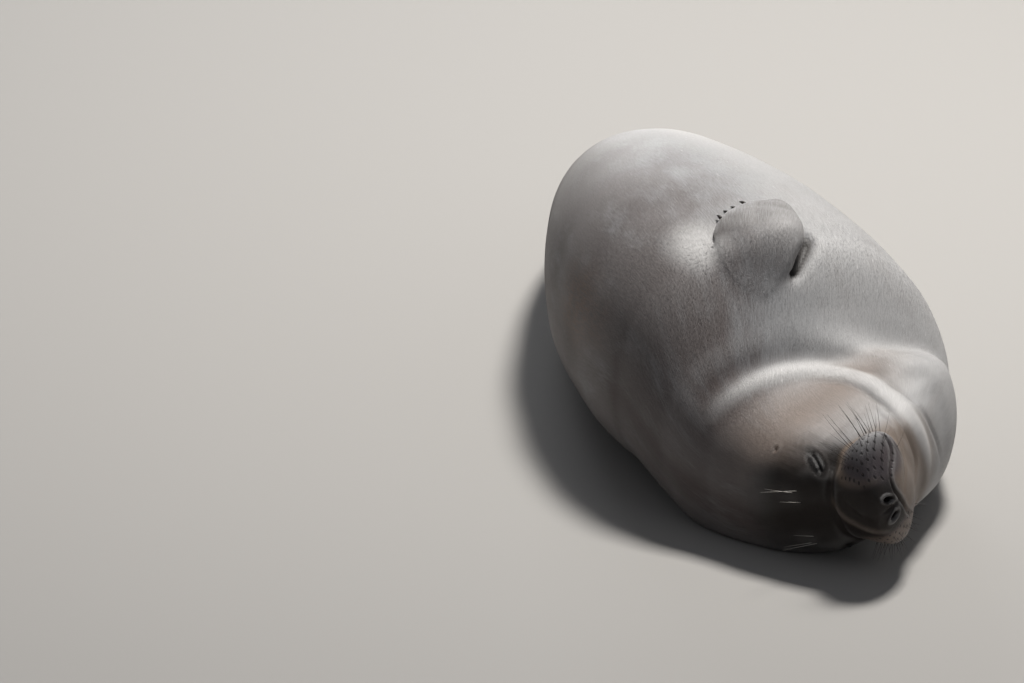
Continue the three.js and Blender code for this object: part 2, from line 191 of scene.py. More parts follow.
@dataclass(frozen=True)
class FaceForm:
    """A soft swelling or hollow of the face, placed towards nose, cheek and crown."""

    at: Triple
    width: float
    height: float
    paired: bool = False

    def relief(self, places: Array) -> Array:
        """How far it lifts the skin at places given in the head's directions."""
        sideways = np.abs(places[:, 1]) if self.paired else places[:, 1]
        offset = np.stack([places[:, 0], sideways, places[:, 2]], 1) - np.array(self.at)
        return self.height * bump(np.linalg.norm(offset, axis=1), self.width)


@dataclass(frozen=True)
class Crease:
    """A crease round the neck: where along, how deep and wide, and where round it is deepest."""

    at: float
    depth: float
    width: float
    round: float
    fade: float

    def relief(self, at: Array, angle: Array) -> Array:
        """How far it lowers the skin, as a negative height."""
        strength = smooth(np.cos(angle - math.radians(self.round)), self.fade, 0.85)
        return -self.depth * strength * bump(at - self.at, self.width)


@dataclass(frozen=True)
class Ridge:
    """A soft ridge along a line over the skin, or a groove where its height is below 0."""

    height: float
    width: float
    line: tuple[Triple, ...]
    tint: float = 0.0  # how far its hair is painted tan, pale grey below 0: partly rubbed hair, partly a painted highlight

    def relief(self, points: Array, normals: Array) -> Array:
        """How far it lifts the skin at points with normals, fading out at its ends."""
        line = np.array(self.line, float)
        for _ in range(2):
            cut = np.stack([lerp(line[:-1], line[1:], share) for share in (0.25, 0.75)], 1)
            line = np.concatenate([line[:1], cut.reshape(-1, 3), line[-1:]])
        reach = 3 * self.width
        close = ((points > line.min(0) - reach) & (points < line.max(0) + reach)).all(1)
        near, way = np.where(close)[0], np.diff(line, axis=0)
        offset = points[near, None] - line[:-1]
        share = np.clip((offset * way).sum(2) / (way * way).sum(1), 0, 1)
        apart, out = offset - share[..., None] * way, normals[near, None]
        # measured mostly along the skin, because the line cuts the corners of a curved surface
        apart = apart - 0.8 * (apart * out).sum(2)[..., None] * out
        gap = np.linalg.norm(apart, axis=2)
        rows, closest = np.arange(len(near)), gap.argmin(1)
        along = (closest + share[rows, closest]) / len(way)
        lifted = np.zeros(len(points))
        lifted[near] = self.height * smooth(np.minimum(along, 1 - along), 0, 0.3)
        lifted[near] *= bump(gap[rows, closest], self.width)
        return lifted


@dataclass
class BodyForm:
    """The whole animal's plain form: sections strung along a curved line, with the face on it."""

    pose: HeadPose = field(default_factory=HeadPose)
    neck_to: float = 330.0
    squareness: float = 2.2
    underside_squareness: float = 2.7
    # along, shift to the belly, height of the middle, and the reach to back, belly, up, down
    stations: tuple[tuple[float, ...], ...] = (
        (-121, 14, 90, 0, 0, 0, 0), (-119, 14, 90, 16, 16, 18, 17),
        (-113, 15, 90, 27, 31, 36, 33), (-101, 18, 90, 36, 50, 54, 49),
        (-84, 23, 90, 44, 70, 66, 60), (-64, 28, 90, 52, 108, 68, 61),
        (-40, 33, 90, 60, 152, 68, 69), (-20, 38, 90, 71, 194, 67, 76),
        (0, 42, 90, 80, 230, 69, 83), (30, 44, 90, 91, 266, 82, 94),
        (60, 43, 94, 99, 284, 92, 104), (100, 42, 104, 108, 291, 102, 117),
        (150, 42, 118, 132, 286, 111, 130), (220, 38, 134, 172, 275, 142, 142),
        (320, 34, 148, 210, 257, 188, 158), (420, 36, 152, 219, 246, 204, 163),
        (540, 40, 150, 211, 232, 207, 161), (680, 50, 141, 193, 211, 200, 151),
        (820, 66, 128, 165, 178, 186, 137), (950, 89, 112, 135, 147, 159, 120),
        (1070, 116, 92, 107, 114, 118, 98), (1160, 145, 74, 83, 85, 84, 78),
        (1240, 174, 56, 54, 58, 48, 58), (1300, 194, 44, 36, 38, 30, 42),
        (1345, 210, 30, 22, 22, 17, 26), (1368, 218, 26, 0, 0, 0, 0),
    )
    throat_sag: tuple[Pair, ...] = (
        (-90, 0), (-40, 0.4), (20, 0.65), (100, 0.4), (220, 0),
    )
    forms: tuple[FaceForm, ...] = (
        FaceForm((98, 0, 10), 26, 7),
        FaceForm((80, 56, -34), 27, 15, True),
        FaceForm((82, 64, -34), 25, 8),
        FaceForm((84, 50, -62), 24, 14),
        FaceForm((40, 56, -8), 17, -6, True),
        FaceForm((-8, 34, 34), 24, 4, True),
        FaceForm((4, 56, 12), 18, 4, True),
        FaceForm((28, 0, 32), 24, -4),
        FaceForm((84, 0, -66), 26, 5),
        FaceForm((-30, 74, -30), 44, 5, True),
    )
    creases: tuple[Crease, ...] = (
        Crease(-66, 3, 9, 0, 0.35), Crease(-20, 2, 8, 15, 0.2),
    )
    nose_fold: Triple = (42, 6, 4)  # along the nose, width, depth

    def __post_init__(self) -> None:
        """Makes the curves through the stations."""
        rows = list(zip(*self.stations))
        names = ("shift", "z", "back", "belly", "up", "down")
        self.reach = {name: Profile(rows[0], row) for name, row in zip(names, rows[1:])}
        self.sag = Profile(*zip(*self.throat_sag))

    def section(self, at: Array) -> tuple[Array, Array, Array]:
        """The middle of the section at each station, and its directions to the belly and up.

        Args:
            at: how far along the body from the eyes, one value each.

        Returns:
            The middles, the belly directions and the up directions, one to a row.
        """
        nose, cheek, crown = self.pose.axes
        straight = smooth(at, 0, self.neck_to)[:, None]
        belly = unit(lerp(-crown, np.array([1.0, 0, 0]), straight))
        up = lerp(cheek, np.array([0, 0, 1.0]), straight)
        up = unit(up - (up * belly).sum(1, keepdims=True) * belly)
        on_head = self.pose.eyes - at[:, None] * nose
        on_body = np.stack([np.zeros_like(at), at, self.reach["z"](at)], 1)
        middle = lerp(on_head, on_body, straight) + belly * self.reach["shift"](at)[:, None]
        return middle, belly, up

    def skin(self, at: Array, angle: Array) -> Array:
        """Points of the skin at stations and angles, from the belly (0) over the top (90)."""
        middle, belly, up = self.section(at)
        c, s = np.cos(angle), np.sin(angle)
        under = lerp(self.squareness, self.underside_squareness, smooth(at, 0, 200))
        squareness = np.where(s < 0, under, self.squareness)
        reach = {name: curve(at) for name, curve in self.reach.items()}
        sagged = reach["down"] * (1 + self.sag(at) * smooth(c, 0, 0.8))
        sideways = rounded(c, squareness) * np.where(c > 0, reach["belly"], reach["back"])
        upwards = rounded(s, squareness) * np.where(s > 0, reach["up"], sagged)
        radial = belly * sideways[:, None] + up * upwards[:, None]
        points = middle + radial
        out = np.linalg.norm(radial, axis=1)
        places = self.pose.coordinates(points)
        relief = sum(form.relief(places) for form in self.forms)
        fold_at, fold_width, fold_depth = self.nose_fold
        over_nose = smooth(places[:, 2], -36, 2)
        relief = relief - fold_depth * over_nose * bump(places[:, 0] - fold_at, fold_width)
        relief = relief + sum(crease.relief(at, angle) for crease in self.creases)
        relief = relief * np.minimum(1, out / 20)
        return points + radial * (relief / np.maximum(out, 0.3))[:, None]

    def on_face(self, side: int, nose: float, crown: float) -> Array:
        """The skin's point on one side of the face, so far from the eyes to nose and crown."""
        at, angle = -nose, side * math.radians(120)
        for _ in range(14):
            probe = self.skin(np.array([at, at + 0.5, at]), np.array([angle, angle, angle + 0.002]))
            misses = self.pose.coordinates(probe)[:, [0, 2]] - np.array([nose, crown])
            slopes = np.stack([(misses[1] - misses[0]) / 0.5, (misses[2] - misses[0]) / 0.002], 1)
            at, angle = np.array([at, angle]) - np.linalg.solve(slopes, misses[0])
        return self.skin(np.array([at]), np.array([angle]))[0]


@dataclass
class Sheet:
    """A mesh in the making, in millimetres, with the coat's own facts at each point."""

    points: Array
    faces: list[tuple[int, ...]]
    lie: Array  # which way the hair lies
    track: Array  # along and round the form, and which form it is
    unwrap: Array  # one place in the unwrap for each corner of each face

    def face_out(self) -> "Sheet":
        """Turns every face round if the closed form is inside out."""
        corners = np.array([face[:3] for face in self.faces])
        a, b, c = (self.points[corners[:, k]] for k in range(3))
        if (a * np.cross(b, c)).sum() < 0:
            starts = np.cumsum([0] + [len(face) for face in self.faces])
            turned = [np.arange(end - 1, start - 1, -1) for start, end in zip(starts, starts[1:])]
            self.unwrap = self.unwrap[np.concatenate(turned)]
            self.faces = [face[::-1] for face in self.faces]
        return self

    def to_object(self, name: str) -> Object:
        """Makes the mesh object, in metres in the model's frame."""
        mesh = bpy.data.meshes.new(name)
        mesh.from_pydata(to_frame(self.points).tolist(), [], self.faces)
        layer = mesh.uv_layers.new(name="unwrap")
        layer.data.foreach_set("uv", self.unwrap.astype(np.float32).ravel())
        return linked(name, mesh)


def closed_grid(rings: int, columns: int, u: Array, v: Array) -> tuple[list, Array]:
    """The faces of rings of points that two poles close.

    The points are ring after ring, then the first pole and the last one.

    Args:
        rings: how many rings there are.
        columns: how many points a ring has.
        u: places round the unwrap, one more than the columns.
        v: places along the unwrap, two more than the rings.

    Returns:
        The faces, and the unwrap's place for each of their corners.
    """
    faces, unwrap = [], []
    first, last = rings * columns, rings * columns + 1
    for k in range(columns):
        beside = (k + 1) % columns
        faces.append((first, k, beside))
        middle = (u[k] + u[k + 1]) / 2
        unwrap += [(middle, v[0]), (u[k], v[1]), (u[k + 1], v[1])]
        for ring in range(rings - 1):
            here, further = ring * columns, (ring + 1) * columns
            faces.append((here + k, further + k, further + beside, here + beside))
            near, far = v[ring + 1], v[ring + 2]
            unwrap += [(u[k], near), (u[k], far), (u[k + 1], far), (u[k + 1], near)]
        end = (rings - 1) * columns
        faces.append((last, end + beside, end + k))
        unwrap += [(middle, v[-1]), (u[k + 1], v[-2]), (u[k], v[-2])]
    return faces, np.array(unwrap)


def ring_angles(columns: int, rings: int) -> Array:
    """The angle round its ring of each point of a closed grid, and 0 for its two poles."""
    angle = np.tile(np.arange(columns) / columns * 2 * math.pi, rings)
    return np.append(angle, [0.0, 0.0])


def mesh_points(mesh: Mesh) -> Array:
    """A mesh's points in millimetres, from the eyes."""
    flat = np.empty(len(mesh.vertices) * 3, np.float32)
    mesh.vertices.foreach_get("co", flat)
    return flat.reshape(-1, 3).astype(float) / MM + FOOTPRINT_CENTRE


def set_mesh_points(mesh: Mesh, points: Array) -> None:
    """Puts a mesh's points back, given in millimetres from the eyes."""
    mesh.vertices.foreach_set("co", to_frame(points).astype(np.float32).ravel())
    mesh.update()


def mesh_normals(mesh: Mesh) -> Array:
    """The normals at a mesh's points."""
    flat = np.empty(len(mesh.vertices) * 3, np.float32)
    mesh.vertex_normals.foreach_get("vector", flat)
    return flat.reshape(-1, 3).astype(float)


def mesh_edges(mesh: Mesh) -> Array:
    """The pairs of points that a mesh's edges join."""
    flat = np.empty(len(mesh.edges) * 2, np.int32)
    mesh.edges.foreach_get("vertices", flat)
    return flat.reshape(-1, 2)


def store_fact(mesh: Mesh, name: str, values: Array) -> None:
    """Stores a number or a vector at each of a mesh's points."""
    values = np.asarray(values, np.float32)
    kind, key = ("FLOAT_VECTOR", "vector") if values.ndim > 1 else ("FLOAT", "value")
    mesh.attributes.new(name, kind, "POINT").data.foreach_set(key, values.ravel())


def neighbour_mean(values: Array, edges: Array) -> Array:
    """The mean of the neighbours' values at each point."""
    total, count = np.zeros_like(values), np.zeros(len(values))
    for a, b in ((0, 1), (1, 0)):
        np.add.at(total, edges[:, a], values[edges[:, b]])
        np.add.at(count, edges[:, a], 1)
    return total / np.maximum(count, 1)[:, None]


def nearest(sources: Array, points: Array) -> tuple[Array, Array]:
    """The index of the nearest source for each point, and how far it is."""
    tree = KDTree(len(sources))
    for i, source in enumerate(sources):
        tree.insert(source, i)
    tree.balance()
    found = [tree.find(point) for point in points]
    return np.array([hit[1] for hit in found]), np.array([hit[2] for hit in found])


def above_floor(points: Array, softness: float = 3.0) -> Array:
    """The points with those under the floor laid on it, and the edge of the contact rounded."""
    z = points[:, 2]
    lifted = (z + np.sqrt(z * z + softness * softness)) / 2
    return np.column_stack([points[:, :2], lifted])


@dataclass
class FaceDetail:
    """The fine forms of the face that the plain form leaves out: mouth, nostrils, lids, ears."""

    body: BodyForm
    # to the nose, to the cheek and to the crown from the eyes' middle
    mouth: tuple[Triple, ...] = (
        (98, -48, -58), (108, -36, -46), (115, -21, -33), (117, 2, -27), (118, 19, -22),
        (111, 38, -32), (103, 49, -54), (95, 63, -65), (85, 79, -63), (70, 88, -52),
    )
    # height and width of the mouth's groove, the lips round it, the split of the nose and the ears
    groove: Pair = (-5.0, 2.8)
    lips: Pair = (1.4, 8.0)
    nose_split: Pair = (-2.2, 2.6)
    ear: Pair = (-3.0, 2.4)
    ear_rim: Pair = (0.5, 5.5)  # height, and how far from the ear's middle
    ear_at: Pair = (-50, 4)
    nostril_size: Pair = (4.4, 7.5)
    nostril_depth: float = 13.0
    nostril_rim: float = 1.8
    lid_at: Pair = (10, -3)
    lid_size: Pair = (17, 7)
    lid_swell: float = 1.5
    slit: Pair = (-3.2, 1.7)
    slit_rise: float = 1.6  # how far the slit's middle lies over its ends
    wrinkle: float = 0.3

    def lid_axes(self, side: int) -> Array:
        """The directions along a closed lid, across it and out of it."""
        nose, cheek, crown = self.body.pose.axes
        out = unit(0.45 * nose + 0.75 * side * cheek + 0.45 * crown)
        along = 30 * nose - 38 * side * cheek + 16 * crown
        along = unit(along - (along @ out) * out)
        return np.array([along, np.cross(out, along), out])

    def lid_places(self, points: Array, side: int) -> Array:
        """Points as seen from a closed eye: along its slit, across it and out."""
        centre = self.body.on_face(side, *self.lid_at)
        return (points - centre) @ self.lid_axes(side).T

    def lid_oval(self, along: Array, across: Array, out: Array) -> Array:
        """How far out of a lid's oval places are: 0 in its middle, 1 at its edge, up to 4."""
        long, wide = self.lid_size
        oval = np.hypot(along / long, across / wide)
        return np.minimum(4.0, oval + 4.0 * smooth(np.abs(out), 14, 26))

    def lids(self, points: Array) -> Array:
        """The relief of the closed lids: a low almond with a slit and fine wrinkles."""
        relief = np.zeros(len(points))
        (long, wide), (depth, width) = self.lid_size, self.slit
        for side in (1, -1):
            along, across, out = self.lid_places(points, side).T
            here = smooth(-np.abs(out), -26, -14)
            oval = np.sqrt((along / long) ** 2 + (across / wide) ** 2)
            slit_line = across - self.slit_rise * (1 - (along / long) ** 2)
            open_here = smooth(-np.abs(along), -long * 0.98, -long * 0.78)
            mound = self.lid_swell * smooth(-oval, -1.25, -0.35)
            slit = depth * bump(slit_line, width) * open_here
            rim = 0.25 * bump(np.abs(slit_line) - 3.6, 1.4) * open_here
            ring = self.wrinkle * (bump(oval - 1.9, 0.35) - bump(oval - 1.4, 0.25))
            corner = -1.8 * bump(np.hypot(np.abs(along) - long, across), 4.0)
            rays = self.wrinkle * np.sin(along * 0.9 + across * 0.5 + np.sin(across))
            rays = rays * smooth(-oval, -1.8, -0.8)
            relief += here * (mound + slit + rim + ring + corner + rays)
        return relief

    def relief(self, points: Array, normals: Array) -> Array:
        """How far the fine forms lift the skin along its normal."""
        nose, cheek, crown = self.body.pose.coordinates(points).T
        line = self.body.pose.eyes + np.array(self.mouth) @ self.body.pose.axes
        forms = (Ridge(*form, line) for form in (self.groove, self.lips))
        relief = sum(form.relief(points, normals) for form in forms)
        at_nose, at_cheek, at_crown = MARKS.nostril
        wide, high = self.nostril_size
        leaning = np.abs(cheek) - at_cheek - 0.25 * (crown - at_crown)
        hole = np.hypot(leaning / wide, (crown - at_crown) / high)
        in_front = smooth(nose, at_nose - 24, at_nose - 10)
        rim = self.nostril_rim * bump(hole - 1.5, 0.4)
        relief += in_front * (rim - self.nostril_depth * smooth(-hole, -1.12, -0.45))
        depth, width = self.nose_split
        split = smooth(crown, -30, -16) * smooth(-crown, -14, 2)
        relief += in_front * depth * bump(cheek, width) * split
        (depth, width), (rim, away) = self.ear, self.ear_rim
        for side in (1, -1):
            ear = self.body.on_face(side, *self.ear_at)
            gap = np.linalg.norm(points - ear, axis=1)
            relief += depth * bump(gap, width) + rim * bump(gap - away, width)
        return relief + self.lids(points)


@dataclass
class SkinFolds:
    """Fine folds of the neck and armpit, and the slow unevenness of fat under the skin."""

    lines: tuple[Ridge, ...] = (
        # the collar's crest with the dip behind it and the full throat
        Ridge(-4.0, 22, ((-125, 176, 173), (-68, 177, 208), (8, 184, 218), (68, 187, 215),
                         (133, 168, 204), (183, 110, 190), (226, 113, 147))),
        Ridge(10.0, 30, ((30, 206, 222), (100, 196, 214), (140, 183, 207), (164, 160, 204),
                         (186, 132, 197), (208, 112, 174))),
        # the crest's pale tint is partly the fur's own colour, partly a painted highlight
        Ridge(5.0, 17, ((-125, 130, 150), (-104, 150, 168), (-54, 158, 196), (1, 167, 205),
                        (48, 168, 204), (82, 151, 200), (108, 120, 195), (125, 77, 187),
                        (136, 38, 175), (148, 24, 150), (158, 22, 119), (159, 20, 94),
                        (151, 14, 71)), -1.0),
        # fine folds round the cheek and chin
        Ridge(-2.0, 4.2, ((99, 170, 202), (130, 123, 198), (151, 76, 184), (169, 54, 158),
                          (190, 60, 115), (199, 74, 73))),
        Ridge(-3.0, 4.4, ((23, 148, 195), (75, 133, 193), (98, 95, 192), (112, 58, 182),
                          (115, 17, 174), (123, 0, 151), (128, -11, 122), (108, -55, 102))),
        Ridge(-1.8, 3.6, ((95, 73, 184), (98, 24, 180), (101, -5, 168), (99, -34, 150),
                          (89, -67, 133), (78, -88, 117))),
        # the fold under the nose with its hollow, its tan tint partly rubbed hair and partly a
        # painted highlight
        Ridge(2.2, 7.0, ((-6, -46, 120), (-3, -47, 100), (4, -61, 86), (19, -81, 79),
                         (38, -99, 76), (63, -97, 75)), 1.0),
        Ridge(-2.4, 7.0, ((-2, -60, 126), (0, -64, 109), (7, -74, 98), (19, -95, 93),
                          (37, -107, 91))),
    )
    # the pocket under the front edge of the upper fore flipper
    pocket: Ridge = Ridge(-15.0, 11.0, (
        (44, 266, 299), (56, 274, 304), (70, 283, 311), (87, 298, 322), (101, 320, 331),
        (106, 342, 337)))
    armpit: Pair = (-20, 331)  # plan place where the folds fan out
    fan_way: float = 175.0
    fan_height: float = 2.4
    fan_count: float = 21.0  # folds that would fit all round
    unevenness: float = 0.9

    def relief(self, points: Array, normals: Array, at: Array) -> Array:
        """How far the folds lift the skin along its normal."""
        relief = sum(line.relief(points, normals) for line in self.lines)
        x, y = (points[:, :2] - np.array(self.armpit)).T
        reach, way = np.hypot(x, y), np.arctan2(y, x)
        fan = smooth(np.cos(way - math.radians(self.fan_way)), 0.3, 0.85)
        fan = fan * smooth(points[:, 2], 150, 240) * smooth(-reach, -70, -26) * smooth(reach, 3, 16)
        waves = np.cos(way * self.fan_count + 0.6 * np.sin(reach / 14))
        relief = relief + fan * self.fan_height * waves
        x, y, z = points.T / 1000.0
        slow = np.sin(9 * x + 13 * y + 2 * np.sin(11 * z)) * np.sin(21 * z - 8 * y + 3 * x)
        slow = slow + 0.6 * np.sin(27 * y + 8 * x) * np.sin(17 * x + 19 * z)
        return relief + self.unevenness * slow * smooth(at, 120, 300)


@dataclass
class BodySkin:
    """The body's and head's skin as one closed grid of rings."""

    body: BodyForm
    face: FaceDetail
    folds: SkinFolds
    columns: int = 224
    ends: Pair = (-121.0, 1368.0)
    depth: float = 1.0  # how far the skin lies inside the solids, for the coat
    crowding: float = 1.3  # how much closer the columns are on the face
    probe: float = 4.0  # how far apart points are compared to find the lie of the hair
    girth: float = 200.0  # radius that turns angles into places round the body
    face_to: float = 120.0  # how far back the face's detail reaches
    samples: int = 6000
    spacing: tuple[Pair, ...] = (
        (-121, 1.5), (40, 1.65), (150, 2.5), (240, 3.6), (340, 5.6), (400, 10.5), (1368, 11.8),
    )

    def stations(self) -> Array:
        """Where the rings lie, close together on the face and at the tips."""
        at = np.linspace(*self.ends, self.samples)
        reach = sum(self.body.reach[name](at) for name in ("back", "belly", "up", "down")) / 4
        step = np.hypot(np.diff(at), np.diff(reach))
        measure = np.concatenate([[0], np.cumsum(step / Profile(*zip(*self.spacing))(at[1:]))])
        return np.interp(np.linspace(0, measure[-1], int(measure[-1])), measure, at)

    def angles(self, rings: Array) -> Array:
        """Where round the body the columns lie: evenly along each ring, closer on the face."""
        fine = np.linspace(-math.pi / 2, 1.5 * math.pi, self.columns * 3 + 1)
        at = np.repeat(rings, len(fine))
        line = self.body.skin(at, np.tile(fine, len(rings))).reshape(len(rings), -1, 3)
        steps = np.linalg.norm(np.diff(line, axis=1), axis=2)
        on_face = smooth(np.cos(fine[1:] - 2.3), -0.1, 0.8) * (1 - smooth(rings, 0, 70))[:, None]
        measure = np.cumsum(steps * (1 + self.crowding * on_face), 1)
        measure = np.concatenate([np.zeros((len(rings), 1)), measure], 1)
        share = np.arange(self.columns) / self.columns
        return np.concatenate([np.interp(share * row[-1], row, fine) for row in measure])

    def build(self) -> Sheet:
        """Makes the closed grid with its fine relief."""
        rings = self.stations()[1:-1]
        count, columns = len(rings), self.columns
        at = np.append(np.repeat(rings, columns), self.ends)
        angle = np.append(self.angles(rings), [0.0, 0.0])
        points = self.body.skin(at, angle)
        faces, unwrap = closed_grid(
            count, columns, 0.01 + 0.77 * np.arange(columns + 1) / columns,
            np.linspace(0.01, 0.99, count + 2),
        )
        ahead = self.body.skin(np.minimum(at + self.probe, self.ends[1]), angle)
        lie = ahead - self.body.skin(np.maximum(at - self.probe, self.ends[0]), angle)
        around = (angle + math.pi / 2) * self.girth
        track = np.column_stack([at, around, np.zeros_like(at)])
        sheet = Sheet(points, faces, unit(lie), track, unwrap).face_out()
        draft = sheet.to_object("draft")
        normals = mesh_normals(draft.data)
        bpy.data.objects.remove(draft)
        near_face = np.where(at < self.face_to)[0]
        relief = self.folds.relief(points, normals, at)
        relief[near_face] += self.face.relief(points[near_face], normals[near_face])
        sheet.points = above_floor(points + normals * (relief - self.depth)[:, None])
        return sheet


def ground_height(surface: BVHTree, x: float, y: float) -> float:
    """The height of a surface under a plan place."""
    hit = surface.ray_cast(Vector((x, y, HIGH_UP)), Vector((0, 0, -1)))[0]
    return NO_GROUND if hit is None else hit.z


@dataclass
class ForeFlipper:
    """A fore flipper: a blade with a thick front edge and five soft ridges out to its claws."""

    root: Pair
    heading: float
    lift: float  # of the front edge off what the blade lies on
    unwrap_at: Pair
    rows: int = 84
    columns: int = 76
    # how far from the root, how far the middle lies to the front, half the width, thickness
    sections: tuple[tuple[float, ...], ...] = (
        (-42, 6, 0, 0), (-36, 6, 17, 1), (-15, 2, 36, 6), (15, 5, 52, 14), (45, 8, 62, 17),
        (70, 9, 59, 16), (90, 10, 53, 15), (105, 13, 46, 13), (118, 16, 37, 12),
        (128, 21, 27, 10), (137, 24, 14, 8), (141, 25, 0, 0),
    )
    # each claw's place from the root, its place to the front, and its turn
    claws: tuple[Triple, ...] = (
        (80, -46, 54), (100, -37, 46), (113, -27, 40), (122, -15, 32), (131, -2, 22),
    )
    wrist: float = 30.0  # how far behind the root the ridges fan out from
    ridge_height: float = 1.6
    ridge_width: float = 7.0
    root_depth: float = 12.0  # how far the root is sunk in the skin
    clearance: float = 0.9  # under the blade

    def directions(self) -> tuple[Array, Array]:
        """The plan directions along the blade and to its front edge."""
        c, s = math.cos(math.radians(self.heading)), math.sin(math.radians(self.heading))
        return np.array([c, s]), np.array([s, -c])

    def build(self, surface: BVHTree | None) -> Sheet:
        """Makes the blade, lying on a surface or on the floor.

        Args:
            surface: the skin under the blade, or None for the floor.

        Returns:
            The blade as a closed grid.
        """
        us, mids, halves, thicks = zip(*self.sections)
        mid, half, thick = (Profile(us, row) for row in (mids, halves, thicks))
        along, front = self.directions()
        down = np.arange(1, self.rows) / self.rows
        u = lerp(us[0], us[-1], (1 - np.cos(math.pi * down)) / 2)
        u = np.repeat(u, self.columns)
        u, angle = np.append(u, [us[0], us[-1]]), ring_angles(self.columns, self.rows - 1)
        across = np.cos(angle)
        v = mid(u) + half(u) * across
        lean = lerp(0.6, 1.25, (across + 1) / 2)
        rise = np.maximum(0, np.sin(angle)) ** 0.62 * lean * thick(u)
        ridges, from_wrist = np.zeros_like(u), u + self.wrist
        for claw_u, claw_v, _ in self.claws:
            off = np.arctan2(v, from_wrist) - math.atan2(claw_v, claw_u + self.wrist)
            ridges += bump(off * np.hypot(from_wrist, v), self.ridge_width)
        rise += self.ridge_height * (ridges - 0.5) * smooth(rise, 2, 7) * smooth(u, 20, 75)
        raised = self.lift * smooth(v, -50, 66) * smooth(u, -24, 30)
        raised = raised * (1 - 0.7 * smooth(u, 50, 115))
        sunk = -self.root_depth * (1 - smooth(u, -4, 34)) if surface is not None else 0.0
        under = np.where(np.sin(angle) < -0.02, sunk, 0.0) + np.where(rise < 1, sunk * 0.6, 0.0)
        plan = np.array(self.root) + u[:, None] * along + v[:, None] * front
        if surface is None:
            ground = np.zeros_like(u)
        else:
            ground = np.array([ground_height(surface, x, y) for x, y in plan])
        points = np.column_stack([plan, ground + self.clearance + raised + under + rise])
        start_u, start_v = self.unwrap_at
        faces, unwrap = closed_grid(
            self.rows - 1, self.columns,
            start_u + 0.19 * np.arange(self.columns + 1) / self.columns,
            start_v + np.linspace(0, 0.21, self.rows + 1),
        )
        lie = np.broadcast_to(np.append(along, 0.0), points.shape).copy()
        track = np.column_stack([u, v, np.ones_like(u)])
        return Sheet(points, faces, lie, track, unwrap).face_out()

    def claw_roots(self, height: Callable[[float, float], float]) -> list[tuple[Array, Array]]:
        """Where each claw grows and which way it points."""
        along, front = self.directions()
        roots = []
        for u, v, turn in self.claws:
            plan = np.array(self.root) + u * along + v * front
            yaw = math.radians(self.heading - turn + 90)
            way = np.array([math.cos(yaw), math.sin(yaw), 0.0])
            roots.append((np.append(plan, height(*plan)), way))
        return roots


